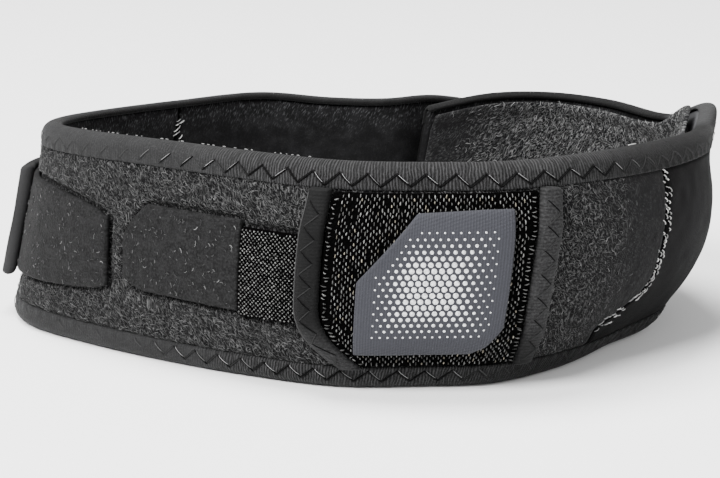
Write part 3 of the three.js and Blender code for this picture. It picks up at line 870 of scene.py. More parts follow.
def paint_plush(name, strap, density, gain, bare, cover):
    """Fuzzy loop pile: light strokes that lean one way over a dark ground, in clumps of a few mm.

    The strokes thin out where the length along the band goes from cover's second value to its first, and
    the ground there is the neoprene's colour times bare.
    """
    colours = strap.colours
    paint = Paint(name, Sheen_Weight=0.025, Sheen_Roughness=0.5, Specular_IOR_Level=0.08)
    along, height = paint.place()
    flat = paint.vector(along, height)
    drift = paint.noise(flat, 0.16, 2.0)
    clump = paint.noise(flat, 0.42, 3.0, 0.6)
    bent = height + (drift - 0.5) * 6.0
    first = paint.dashes(along, bent, np.radians(48), 0.24, 0.95, 0.52, 0.68)
    second = paint.dashes(along, bent, np.radians(15), 0.22, 0.7, 0.56, 0.72)
    third = paint.dashes(along, bent, np.radians(105), 0.2, 0.6, 0.6, 0.74)
    strokes = first.most(second * 0.8).most(third * 0.6)
    dense = clump.step(0.34, 0.6) * 0.65 + 0.35
    thick = along.step(*cover)
    light = strokes * dense * (thick * 0.85 + 0.15) * density
    dark = tint(colours.plush_dark, 0.7 * gain), tint(colours.plush_dark, 2.2 * gain)
    ground = paint.mix(clump, *dark)
    # patchy: where the strokes thin out, the ground is the neoprene's colour, in clumps
    patchy = paint.mix(clump, tint(colours.neoprene, 0.9 * bare), tint(colours.neoprene, 2.4 * bare))
    ground = paint.mix(thick, patchy, ground)
    face = paint.mix(light, ground, tint(colours.plush_light, gain))
    return paint.finish(face, 0.92 - light * 0.12, strokes * thick * 0.7 + clump, 0.35)


def paint_neoprene(name, strap, gain=1.0, brushed=0.0):
    """The smooth face: a tight dark jersey with faint mottling and lighter specks.

    Where it is brushed, its upper edge has light strokes, and painted light makes it paler inside the
    pointed end.
    """
    colours = strap.colours
    paint = Paint(name, Sheen_Weight=0.008, Sheen_Roughness=0.45, Specular_IOR_Level=0.06)
    along, height = paint.place()
    flat = paint.vector(along, height)
    mottle = paint.noise(flat, 0.3, 4.0, 0.6)
    grain = paint.noise(flat, 2.6, 2.0, 0.7)
    rows = (along * (2 * np.pi / 0.42)).sine() * 0.5 + 0.5
    light = grain.step(0.52, 0.75) * 0.5 + mottle.step(0.4, 0.7) * 0.35
    base = tint(colours.neoprene, gain)
    cloth = paint.mix(light, tint(base, 0.6), tint(base, 2.7))
    if brushed:
        strokes = paint.dashes(along, height, np.radians(70), 0.26, 1.0, 0.52, 0.7)
        upper = (height + (mottle - 0.5) * 10.0).step(28.0, 36.0) * brushed
        cloth = paint.mix(strokes * upper, cloth, tint(base, 9.0))
        # painted light: a pale patch inside the pointed end, near its top edge
        lip = (along - strap.wall.corner).size().step(16.0, 8.0) * height.step(31.0, 35.0)
        cloth = paint.mix(lip * 0.9, cloth, tint(base, 10.0))
    return paint.finish(cloth, 0.72 + grain * 0.2, grain * 0.8 + rows * 0.25, 0.12)


def paint_binding(name, strap, sewn, right_end):
    """Knitted tape: fine ribs that run over the edge, dented where the zigzag thread pulls it in.

    The ribs are clear at the front and pressed flat towards the sides; painted shade darkens the dents along
    the zigzag. sewn is the middle and half of the length where the thread shows, and right_end is where
    painted shade makes the tape grow darker towards the right. The tape's inner side, where the depth is
    below 0, has painted shade on the left and painted light at the pointed end.
    """
    t = strap.thread
    base = tuple(strap.colours.binding)
    paint = Paint(name, Sheen_Weight=0.03, Sheen_Roughness=0.4, Specular_IOR_Level=0.12)
    along, depth = paint.place()
    flat = paint.vector(along, depth)
    wander = paint.noise(flat, 0.35, 2.0)
    slant = along + depth * 0.12 + (wander - 0.5) * 1.1
    uneven = paint.noise(paint.vector(along * 1.7, depth * 0.5), 1.0, 2.0).step(0.3, 0.62)
    ribs = (slant * (2 * np.pi / 0.58)).sine() * 0.5 + 0.5
    clear = (along - 2.0).size().step(50.0, 26.0) * 0.8 + 0.2
    patchy = paint.noise(flat, 0.12, 3.0).step(0.35, 0.7)
    zigzag = (along * (2.0 / t.edge_pitch)).triangle() * t.edge_swing + t.edge_inset
    away = (depth - zigzag).size()
    # the dent along the zigzag is a bump, and painted shade in the tape's colour
    dent_and_shade = away.step(0.42, 0.12) * (along - sewn[0]).size().step(sewn[1] + 18.0, sewn[1])
    fleck = paint.noise(flat, 2.6, 2.0, 0.7).step(0.42, 0.75)
    light = ribs * clear * (uneven * 0.7 + 0.25) + (1.0 - clear) * 0.3 + fleck * 0.3 + patchy * 0.08
    # painted shade: the tape's inner side is darkened on the left and at the back
    inside = depth.step(-0.3, -0.9)
    inner_painted_shade = inside * along.step(76.0, 96.0) * 0.9
    # painted shade: the tape grows darker towards its right end, away from the light
    right = along.step(right_end - 26.0, right_end + 6.0) * 0.78 + 0.22
    shade = light * (1.0 - dent_and_shade * 0.85) * right * (1.0 - inner_painted_shade)
    # painted light: the tape's crest and inner side are made pale at the pointed end
    lip = (along - strap.wall.corner).size().step(16.0, 8.0) * depth.step(0.7, -0.1)
    shade = shade.most(lip * (fleck * 0.2 + 0.8))
    face = paint.mix(shade, tint(base, 0.08), tint(base, 5.6))
    roughness = 0.7 + wander * 0.25
    raised = ribs * clear * uneven * 0.9 + fleck * 0.4 - dent_and_shade * 1.2
    return paint.finish(face, roughness, raised, 0.18)


def paint_panel_tape(name, strap, low, high):
    """The panel's side tapes: pressed knit whose shade runs from its foot up by two gains."""
    base = tuple(strap.colours.binding)
    paint = Paint(name, Sheen_Weight=0.02, Sheen_Roughness=0.4, Specular_IOR_Level=0.12)
    along, height = paint.place()
    flat = paint.vector(along, height)
    grain = paint.noise(flat, 2.4, 3.0, 0.7)
    lines = (height * (2 * np.pi / 0.62)).sine() * 0.5 + 0.5
    patch = paint.noise(flat, 0.35, 2.0)
    light = grain.step(0.4, 0.72) * 0.5 + lines * 0.15 + patch * 0.25
    dark = paint.mix(light, tint(base, 0.15 * low), tint(base, 5.0 * low))
    pale = paint.mix(light, tint(base, 0.15 * high), tint(base, 5.0 * high))
    face = paint.mix(height.step(7.0, 15.0), dark, pale)
    return paint.finish(face, 0.7 + grain * 0.2, grain * 0.6 + lines * 0.2, 0.14)


def paint_woven(name, strap):
    """The ground of the weave: near black, in a fine basket of raised and sunken squares."""
    base = tuple(strap.colours.woven)
    paint = Paint(name, Specular_IOR_Level=0.01)
    along, height = paint.place()
    basket = (along * (2 * np.pi / 1.0)).sine() * (height * (2 * np.pi / 1.15)).sine()
    grain = paint.noise(paint.vector(along, height), 2.2, 3.0, 0.65)
    light = grain.step(0.5, 0.8)
    face = paint.mix(light, base, tint(base, 4.5))
    return paint.finish(face, 0.75 + grain * 0.2, basket * 0.5 + grain, 0.22)


def paint_fleck(name, strap, low, high):
    """Flecks and threads whose shade runs from low to high with the mark that each one carries."""
    base = tuple(strap.colours.fleck)
    paint = Paint(name, Roughness=0.6, Specular_IOR_Level=0.25)
    mark, warm = paint.place()
    shade = paint.mix(mark, tint(base, low), tint(base, high))
    gold = paint.mix(mark, tint((0.27, 0.25, 0.21), low), tint((0.3, 0.27, 0.21), high))
    paint.feed("Base Color", paint.mix(warm.step(0.85, 0.9), shade, gold))
    return paint.material


def paint_thread(name, dark, light, gloss=0.2):
    """Sewing thread between two shades, by the mark that each stitch carries."""
    paint = Paint(name, Roughness=0.6, Specular_IOR_Level=gloss)
    mark, _ = paint.place()
    paint.feed("Base Color", paint.mix(mark, tuple(dark), tuple(light)))
    return paint.material


def paint_badge(name, strap):
    """Blue grey cloth of fine upright ribs."""
    base = tuple(strap.colours.badge)
    paint = Paint(name, Sheen_Weight=0.04, Sheen_Roughness=0.4, Specular_IOR_Level=0.2)
    along, height = paint.place()
    ribs = (along * (2 * np.pi / 0.46)).sine() * 0.5 + 0.5
    twist = ((height + along * 0.35) * (2 * np.pi / 0.62)).sine() * 0.5 + 0.5
    grain = paint.noise(paint.vector(along, height), 1.9, 2.0)
    light = ribs * 0.45 + twist * ribs * 0.2 + grain * 0.35
    face = paint.mix(light, tint(base, 0.74), tint(base, 1.32))
    return paint.finish(face, 0.7 + grain * 0.15, ribs * 0.5 + twist * 0.4 + grain * 0.4, 0.09)


def paint_silver(name, strap):
    """Printed silver: bright grains in a slightly rough metal film."""
    base = tuple(strap.colours.silver)
    paint = Paint(name, Metallic=0.55)
    where = paint.node("ShaderNodeTexCoord", None, output=3)
    grain = paint.noise(where, 3200.0, 2.0)
    paint.feed("Base Color", paint.mix(grain.step(0.3, 0.7), tint(base, 0.7), tint(base, 1.25)))
    paint.feed("Roughness", 0.38 + grain * 0.2)
    return paint.material


def paint_hook(name, strap):
    """Moulded hook tape: a plain mottled base under tiny hooks."""
    base = tuple(strap.colours.hook)
    paint = Paint(name, Specular_IOR_Level=0.12)
    along, height = paint.place()
    flat = paint.vector(along, height)
    grain = paint.noise(flat, 2.0, 3.0, 0.75)
    patch = paint.noise(flat, 0.5, 3.0, 0.6)
    light = grain.step(0.42, 0.66) * 0.6 + patch.step(0.35, 0.65) * 0.3
    face = paint.mix(light, tint(base, 0.1), tint(base, 3.2))
    return paint.finish(face, 0.62 + grain * 0.25, grain + patch, 0.3)


def paint_strap(name, strap):
    """Smooth strap cloth, with a painted highlight where its hemmed end bends over."""
    base = tuple(strap.colours.strap)
    paint = Paint(name, Sheen_Weight=0.03, Specular_IOR_Level=0.12)
    along, height = paint.place()
    flat = paint.vector(along, height)
    grain = paint.noise(flat, 1.8, 3.0, 0.6)
    wide = paint.noise(flat, 0.3, 2.0)
    # painted highlight: a light band along the rounded bend of the hemmed end
    bend = (along - strap.side_strap_start).step(2.4, 0.9)
    light = (grain * 0.3 + wide * 0.25).most(bend * 0.95)
    face = paint.mix(light, tint(base, 0.5), tint(base, 4.2))
    return paint.finish(face, 0.7 + grain * 0.2, grain, 0.15)


# Operators, one for each piece or group of like pieces


class StrapOperator(bpy.types.Operator):
    """The base of this add-on's operators: each builds its pieces from the property groups."""

    bl_options = {"REGISTER", "UNDO"}

    def execute(self, context):
        strap = Strap(context.scene)
        strap.wall.offset = frame_offset(strap)
        self.build(strap)
        return {"FINISHED"}


def still(along):
    """An end line that stands upright at one place along the band."""
    return lambda height_share: along + 0 * height_share


def binding_points(strap, step=0.55, levels=20):
    """A binding's rings along the whole band: the folded tape's ring, hung from or stood on its edge."""
    wall = strap.wall
    thick = strap.cloth.tape_wall / 2
    start, end = wall.inner_end, wall.outer_end
    along = stations(start, end, step, thick)[:, None]
    taper = end_taper(along, start, end, thick)
    ring = strap.tape_ring(levels)
    centre = (ring + ring[::-1]) / 2
    depth = centre[:, 0] + (ring[:, 0] - centre[:, 0]) * taper
    out = centre[:, 1] + (ring[:, 1] - centre[:, 1]) * taper
    return along, depth, out


def frame_offset(strap):
    """What moves the wall's own axes onto the frame's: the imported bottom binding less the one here."""
    along = np.linspace(strap.wall.inner_end, strap.wall.outer_end, 2001)[:, None]
    out = np.array([[-strap.fold_outside, strap.fold_outside]])
    depth = np.array([[strap.cloth.tape_hem, strap.cloth.tape_lap]])
    strap.wall.offset = np.zeros(3)
    points = strap.wall.point(along, depth, out)[..., :2].reshape(-1, 2)
    low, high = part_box("bottom_binding")
    packed = (np.array(low[:2]) + np.array(high[:2])) / 2 / MM
    return np.append(packed - (points.min(axis=0) + points.max(axis=0)) / 2, 0)


class STRAP_OT_band(StrapOperator):
    """The three stretches of the padded band"""

    bl_idname = "strap.band"
    bl_label = "Band"

    def build(self, strap):
        wall, c = strap.wall, strap.cloth
        edge = c.tape_wall + c.gap
        plush = paint_plush("plush", strap, 1.0, 1.05, 1.0, (-46.0, -25.0))
        smooth_face = paint_neoprene("neoprene", strap, 0.5)
        inner_face = paint_neoprene("neoprene_inside", strap, 2.5, 0.6)
        front = (self.after_seam(strap), still(c.back_seam - c.gap))
        right = (still(wall.inner_end), strap.front_seam)
        back = (still(c.back_seam), still(wall.outer_end))
        stretches = [
            ("band_front", front, plush, "plush"),
            ("band_right", right, smooth_face, "neoprene"),
            ("band_back", back, smooth_face, "neoprene"),
        ]
        options = {"levels": 64, "step": 0.7, "rounding": 0.8, "fade": 4, "clip": 0.2, "back": inner_face}

        def edges(part, top):
            return edge + 0 * top, top - edge

        def faces(along, height, part):
            return strap.band_faces(along, height)

        for node, ends, material, slot in stretches:
            name = node + "_cloth"
            made = strip(name, wall, ends, edges, faces, material, node, slot, **options)

    @staticmethod
    def after_seam(strap):
        return lambda height_share: strap.front_seam(height_share) + strap.cloth.gap


class STRAP_OT_lining(StrapOperator):
    """The plush lining inside the right stretch, whose point stands over the top binding"""

    bl_idname = "strap.lining"
    bl_label = "Lining"

    def build(self, strap):
        wall, c = strap.wall, strap.cloth
        lip = c.tape_hem + c.gap
        start, end = wall.inner_end + c.lining_start, c.front_seam - c.lining_margin

        def edges(part, top):
            along = lerp(start, end, part)
            peak = hump(along - wall.corner, c.lining_peak_reach)
            return lip + 0 * top, top - lip + peak * (lip - c.lining_drop)

        def faces(along, height, part):
            inner = strap.lining_face(along, height)
            return inner, inner + c.lining_wall

        material = paint_plush("lining_plush", strap, 0.95, 2.9, 1.3, (start + 4, start + 26))
        options = {"levels": 48, "step": 0.8, "rounding": 0.45}
        ends = (still(start), still(end))
        made = strip("lining_cloth", wall, ends, edges, faces, material, "plush_lining", "lining", **options)
        (end - start) * MM


class STRAP_OT_bindings(StrapOperator):
    """The knitted tapes folded over the two long edges, with their zigzag thread"""

    bl_idname = "strap.bindings"
    bl_label = "Bindings"

    def build(self, strap):
        wall, t = strap.wall, strap.thread
        shades = strap.colours
        thread = paint_thread("binding_thread", shades.thread_dark, shades.thread_highlight, 0.04)
        knits = {
            "top": paint_binding("top_binding_knit", strap, (-4, 36), -26.0),
            "bottom": paint_binding("bottom_binding_knit", strap, (18, 24), -4.0),
        }
        for side, node in (("top", "top_binding"), ("bottom", "bottom_binding")):
            along, depth, out = binding_points(strap)
            height = wall.top(along) - depth if side == "top" else depth
            ripple = 0.12 * np.sin(4 * np.pi * along / t.edge_pitch) * np.exp(-((depth - 4.2) / 1.2) ** 2)
            points = wall.point(along, height, out + ripple * np.sign(out))
            signed = np.where(out < 0, -depth - 0.4, depth)
            places = np.stack(np.broadcast_arrays(along, signed), axis=-1).reshape(-1, 2)
            faces = ring_faces(*points.shape[:2])
            name = side + "_binding_tape"
            made = new_piece(name, points.reshape(-1, 3), faces, places, knits[side], node)
            sewn = self.zigzag(strap, side, thread)
            flat = (TAPE_WIDTH * MM, (wall.outer_end - wall.inner_end) * MM)

    @staticmethod
    def zigzag(strap, side, material):
        """Dark stitches from corner to corner of a zigzag, every second one with a light line on it.

        The light line is a painted highlight; it is on the other ones beyond turn, and both fade into the
        tape towards the sides.
        """
        wall, t = strap.wall, strap.thread
        random = np.random.RandomState(len(side))
        half = t.edge_pitch / 2
        turn = ZIGZAG_TURN[side]
        left_end, right_end = ZIGZAG_ENDS[side]
        first = np.ceil((wall.inner_end + 3) / half)
        steps = np.arange(first, np.floor((wall.outer_end - 3) / half))
        middle = (steps + 0.5) * half
        odd = np.mod(steps, 2)
        # lit picks the stitches that get the painted highlight; it swaps at the turn, where the light falls
        # from the other side
        lit = np.where(middle > turn, 1 - odd, odd) * (np.abs(middle - turn) > half)
        right = smooth((middle - right_end) / ZIGZAG_FADE)
        shown = smooth((left_end - middle) / ZIGZAG_FADE) * right
        dark = smooth((left_end - 20 * (1 - lit) - middle) / ZIGZAG_FADE) * right
        starts = pair(steps * half, t.edge_inset + odd * t.edge_swing)
        ends = pair((steps + 1) * half, t.edge_inset + (1 - odd) * t.edge_swing)
        starts[:, 1] += random.normal(0, 0.1, len(steps))
        ends[:, 1] += random.normal(0, 0.1, len(steps))
        if side == "top":
            starts[:, 1] = wall.top(starts[:, 0]) - starts[:, 1]
            ends[:, 1] = wall.top(ends[:, 0]) - ends[:, 1]

        def level(along, height):
            depth = wall.top(along) - height if side == "top" else height
            half_wall, _, rise = strap.tape_fold()
            lean = np.clip((half_wall + rise - depth) / (rise + half_wall), 0, 1)
            return strap.fold_outside * np.sqrt(1 - lean**2)

        # light marks the stitches that carry a painted highlight: a second, light tube along the dark one
        light = (lit > 0) & (random.uniform(size=len(steps)) > 0.08)
        inward = (ends[light] - starts[light]) * 0.12
        raised = np.array([0.0, 0.19])
        dark_paths, dark_normals = stitches(wall, starts, ends, level, 0.15, 9)
        highlight_starts, highlight_ends = starts[light] + inward + raised, ends[light] - inward + raised
        highlight_paths, highlight_normals = stitches(wall, highlight_starts, highlight_ends, level, 0.22, 9)
        paths = np.concatenate([dark_paths, highlight_paths])
        normals = np.concatenate([dark_normals, highlight_normals])
        painted_highlight = lerp(0.12, random.uniform(0.35, 1, light.sum()), shown[light])
        marks = np.concatenate([0.09 * (1 - dark), painted_highlight])
        girth = np.concatenate([lerp(0.35, 1.35, dark), np.full(light.sum(), 0.5)]) * t.thread
        radii = girth[:, None] * np.ones((1, 9))
        marks = pair(marks, marks)
        name = side + "_binding_zigzag"
        return thread_piece(name, paths, normals, radii, marks, material, 5)


class STRAP_OT_panel(StrapOperator):
    """The woven panel with its raised flecks and frayed side edges"""

    bl_idname = "strap.panel"
    bl_label = "Panel"

    def build(self, strap):
        wall, c = strap.wall, strap.cloth

        def faces(along, height, part):
            seat = strap.panel_seat(along, height)
            return seat, seat + c.web_wall

        ends, edges = (strap.panel_right, strap.panel_left), strap.panel_edges
        woven = paint_woven("woven_ground", strap)
        options = {"levels": 48, "step": 0.7, "rounding": 0.5}
        panel = strip("panel_cloth", wall, ends, edges, faces, woven, "front_panel", "woven", **options)
        fleck = paint_fleck("fleck_thread", strap, 0.12, 1.1)
        going = [self.flecks(strap, fleck), self.fray(strap, fleck)]
        thread = paint_thread("panel_tape_thread", strap.colours.thread_dark, (0.06, 0.06, 0.06), 0.04)
        going += self.tape(strap, "left", "panel_binding_left", (1.3, 0.22), thread)
        going += self.tape(strap, "right", "panel_binding_right", (0.55, 1.3), thread)
        going += build_badge(strap)
        width = c.panel_left - c.panel_right - c.panel_bow
        flat = (width * MM, PANEL_WIDTH * MM)

    @staticmethod
    def flecks(strap, material):
        """Upright floats in staggered columns, left out under the badge, each a little different."""
        wall, c, t = strap.wall, strap.cloth, strap.thread
        column = np.arange(c.panel_right, c.panel_left, t.fleck_column / 2)
        row = np.arange(5, 37, t.fleck_row)
        i, j = np.meshgrid(np.arange(len(column)), np.arange(len(row)), indexing="ij")
        random = np.random.RandomState(FLECK_SEED)
        along = column[i] + random.normal(0, 0.06, i.shape)
        height = row[j] + (i % 2) * t.fleck_row / 2 + random.normal(0, 0.07, i.shape)
        share = height / wall.top(along)
        low, high = strap.panel_edges(0, wall.top(along))
        inside = (along > strap.panel_right(share) + 1.5) & (along < strap.panel_left(share) - 1.6)
        inside &= (height > low + 0.3) & (height < high - 0.3)
        badge_low, badge_high = strap.badge_edges(along)
        over_badge = (along > strap.badge_start + 0.7) & (along < strap.badge_start + c.badge_length - 0.7)
        inside &= ~(over_badge & (height > badge_low + 0.7) & (height < badge_high - 0.7))
        inside &= random.uniform(size=i.shape) > 0.06
        along, height = along[inside], height[inside]
        long = random.uniform(0.35, 0.72, len(along)) * t.fleck_row / 2
        slant = random.normal(0, 0.12, len(along))
        starts = pair(along - slant * long, height - long)
        ends = pair(along + slant * long, height + long)

        def level(along, height):
            return strap.panel_seat(along, height) + c.web_wall

        paths, normals = stitches(wall, starts, ends, level, 0.16, 5)
        girth = np.array([0.45, 0.9, 1, 0.9, 0.45]) * random.uniform(0.075, 0.14, (len(along), 1))
        marks = pair(random.beta(1.2, 2.4, len(along)), random.uniform(size=len(along)))
        return thread_piece("panel_flecks", paths, normals, girth, marks, material, 6)

    @staticmethod
    def fray(strap, material):
        """Short level floats, one over the other, along the panel's two side bindings."""
        wall, c = strap.wall, strap.cloth
        random = np.random.RandomState(FRAY_SEED)
        rows = np.arange(5.6, 36.4, 0.8)
        height = np.tile(rows, 2) + random.normal(0, 0.1, 2 * len(rows))
        side = np.repeat([-1, 1], len(rows))
        share = height / wall.top(c.panel_left)
        edge = np.where(side < 0, strap.panel_left(share), strap.panel_right(share))
        middle = edge + side * random.uniform(0.55, 0.95, len(height))
        reach = random.uniform(0.15, 0.5, len(height))
        tilt = random.normal(0.05, 0.1, len(height))
        starts = pair(middle - reach, height - tilt)
        ends = pair(middle + reach, height + tilt)

        def level(along, height):
            return strap.panel_seat(along, height) + c.web_wall + 0.06

        paths, normals = stitches(wall, starts, ends, level, 0.22, 6)
        girth = np.array([0.6, 1, 1, 1, 0.9, 0.5]) * random.uniform(0.07, 0.15, (len(height), 1))
        marks = random.beta(1, 2, len(height)) * np.where(side < 0, 0.8, 0.45)
        marks = pair(marks, np.zeros(len(height)))
        return thread_piece("panel_fray", paths, normals, girth, marks, material, 5)

    def tape(self, strap, side, node, gains, thread):
        """The tape sewn over one side of the panel, rounded across its width, with its zigzag."""
        wall, c = strap.wall, strap.cloth
        knit = paint_panel_tape("panel_knit_" + side, strap, *gains)

        def start(share):
            return strap.tape_start(side, share)

        def end(share):
            return strap.tape_start(side, share) + c.panel_tape

        def faces(along, height, part):
            seat = strap.panel_seat(along, height)
            crown = np.sqrt(np.sin(np.pi * np.clip(part, 0.02, 0.98)))
            return seat, seat + c.web_wall + c.tape_wall * crown

        def edges(part, top):
            drop = 0.9 * (1 - part) ** 4 if side == "right" else 0 * part
            return c.tape_lap - 0.3 + 0 * top, top - c.tape_lap + 0.3 - drop

        options = {"levels": 56, "step": 0.28, "rounding": 0.5}
        name = "panel_tape_" + side
        cloth = strip(name, wall, (start, end), edges, faces, knit, node, "binding", **options)
        return [cloth, self.tape_zigzag(strap, side, start, faces, thread)]

    @staticmethod
    def tape_zigzag(strap, side, start, faces, material):
        """Dark stitches that climb a panel's tape from side to side, and the left tape's pale edge."""
        wall, c, t = strap.wall, strap.cloth, strap.thread
        half = t.panel_pitch / 2
        tall = wall.top(c.panel_left)
        steps = np.arange(3, 17)
        odd = np.mod(steps, 2)
        low, high = steps * half - 1, (steps + 1) * half - 1
        inset = (c.panel_tape - t.panel_swing) / 2

        def at(height, side_share):
            return start(height / tall) + inset + t.panel_swing * side_share

        def level(along, height):
            return faces(along, height, np.clip((along - start(height / tall)) / c.panel_tape, 0, 1))[1]

        starts = pair(at(low, odd), low)
        ends = pair(at(high, 1 - odd), high)
        paths, normals = stitches(wall, starts, ends, level, 0.1, 9)
        # painted highlight: every second stitch is a lighter shade of the thread
        marks = pair(0.25 * odd, odd) * 1.0
        radii = np.full(paths.shape[:2], t.thread)
        if side == "left":
            climb = np.linspace(c.tape_lap + 1, tall - c.tape_lap - 0.6, 46)
            edge = pair(start(climb / tall) + c.panel_tape - 0.25, climb)
            more, more_normals = stitches(wall, edge[:-1], edge[1:], level, 0.0, 9)
            paths, normals = np.concatenate([paths, more]), np.concatenate([normals, more_normals])
            marks = np.concatenate([marks, np.full((len(more), 2), 0.5)])
            radii = np.concatenate([radii, np.full(more.shape[:2], 0.16)])
        name = "panel_tape_thread_" + side
        return thread_piece(name, paths, normals, radii, marks, material, 5)


def build_badge(strap):
    """The ribbed badge with turned down edges, and a plain field of raised silver dots on it."""
    wall, c, t = strap.wall, strap.cloth, strap.thread
    end = strap.badge_start + c.badge_length

    def edges(part, top):
        return strap.strip_edges(top, BADGE_CENTRE, c.badge_width, BADGE_OUTLINE, part)

    def level(along, height):
        return strap.panel_seat(along, height) + c.web_wall + c.loose_gap

    def faces(along, height, part):
        inner = level(along, height)
        return inner, inner + c.badge_wall

    cloth = paint_badge("badge_cloth", strap)
    options = {"levels": 48, "step": 0.5, "rounding": 0.7, "clip": 0.3}
    ends = (still(strap.badge_start), still(end))
    badge = strip("badge_patch", wall, ends, edges, faces, cloth, "badge", "badge", **options)
    rows = np.arange(5, 36, t.silver_pitch * 0.866)
    columns = np.arange(strap.badge_start, end, t.silver_pitch)
    i, j = np.meshgrid(np.arange(len(columns)), np.arange(len(rows)), indexing="ij")
    along = (columns[i] + (j % 2) * t.silver_pitch / 2).ravel()
    height = rows[j].ravel()
    low, high = strap.badge_edges(along)
    margin = 2.6
    inset = np.minimum(along - strap.badge_start, end - along)
    inset = np.minimum(inset, np.minimum(height - low, high - height) * 0.92)
    keep = inset > margin
    along, height, inset = along[keep], height[keep], inset[keep]
    size = t.silver_pitch * lerp(0.16, 0.43, smooth((inset - margin) / 7))
    dots = domes("badge_dots", strap, along, height, level(along, height) + c.badge_wall - 0.05, size)
    return [badge, dots]


def domes(name, strap, along, height, out, size, sides=10):
    """Low round domes: rings whose radius goes as the cosine, and whose rise as the sine times DOME_RISE."""
    centre, across, up, normal = strap.wall.frame(along, height, out)
    turn = 2 * np.pi * np.arange(sides) / sides
    lift = np.radians([-8, 22, 50, 74])
    radius = (size[:, None] * np.cos(lift))[:, :, None, None]
    rise = (size[:, None] * np.sin(lift) * DOME_RISE)[:, :, None, None]
    ring = np.cos(turn)[:, None] * across[:, None] + np.sin(turn)[:, None] * up[:, None]
    points = centre[:, None, None] + radius * ring[:, None] + rise * normal[:, None, None]
    faces = tube_faces(len(along), len(lift), sides)
    places = np.repeat(pair(along, height), len(lift) * sides, axis=0)
    material = paint_silver("silver_print", strap)
    return new_piece(name, points.reshape(-1, 3), faces, places, material)


class STRAP_OT_front_strap(StrapOperator):
    """The woven front strap, with a lattice of light dots where it shows"""

    bl_idname = "strap.front_strap"
    bl_label = "Front strap"

    def build(self, strap):
        wall, c, t = strap.wall, strap.cloth, strap.thread
        end = strap.tab_start - c.gap

        def edges(part, top):
            return strap.strip_edges(top, STRAP_CENTRE, c.front_strap_width)

        def faces(along, height, part):
            return strap.face + 0 * along, strap.face + c.web_wall + 0 * along

        woven = paint_woven("strap_ground", strap)
        ends = (still(strap.strap_start), still(end))
        options = {"levels": 24, "step": 0.8, "rounding": 0.5}
        made = strip("front_strap_cloth", wall, ends, edges, faces, woven, "front_strap", "woven", **options)
        random = np.random.RandomState(WEAVE_SEED)
        column = np.arange(strap.panel_left(0.5) + 4, end - 0.2, t.dot_pitch / 2)
        row = np.arange(10, 31, t.dot_pitch)
        i, j = np.meshgrid(np.arange(len(column)), np.arange(len(row)), indexing="ij")
        along = (column[i] + random.normal(0, 0.04, i.shape)).ravel()
        height = (row[j] + (i % 2) * t.dot_pitch / 2 + random.normal(0, 0.05, i.shape)).ravel()
        low, high = edges(0, wall.top(along))
        inside = (height > low + 0.3) & (height < high - 0.3)
        along, height = along[inside], height[inside]
        long = random.uniform(0.08, 0.16, len(along))
        tilt = random.normal(0.9, 0.6, len(along))
        starts = pair(along - long * np.cos(tilt), height - long * np.sin(tilt))
        ends = pair(along + long * np.cos(tilt), height + long * np.sin(tilt))
        level = strap.face + c.web_wall
        paths, normals = stitches(wall, starts, ends, level, 0.12, 5)
        girth = np.array([0.5, 0.9, 1, 0.9, 0.5]) * random.uniform(0.11, 0.17, (len(along), 1))
        marks = pair(random.beta(1.5, 2.2, len(along)), random.uniform(0, 0.7, len(along)))
        fleck = paint_fleck("strap_fleck_thread", strap, 0.12, 1.0)
        dots = thread_piece("front_strap_flecks", paths, normals, girth, marks, fleck, 6)
        flat = ((end - strap.strap_start) * MM, c.front_strap_width * MM)


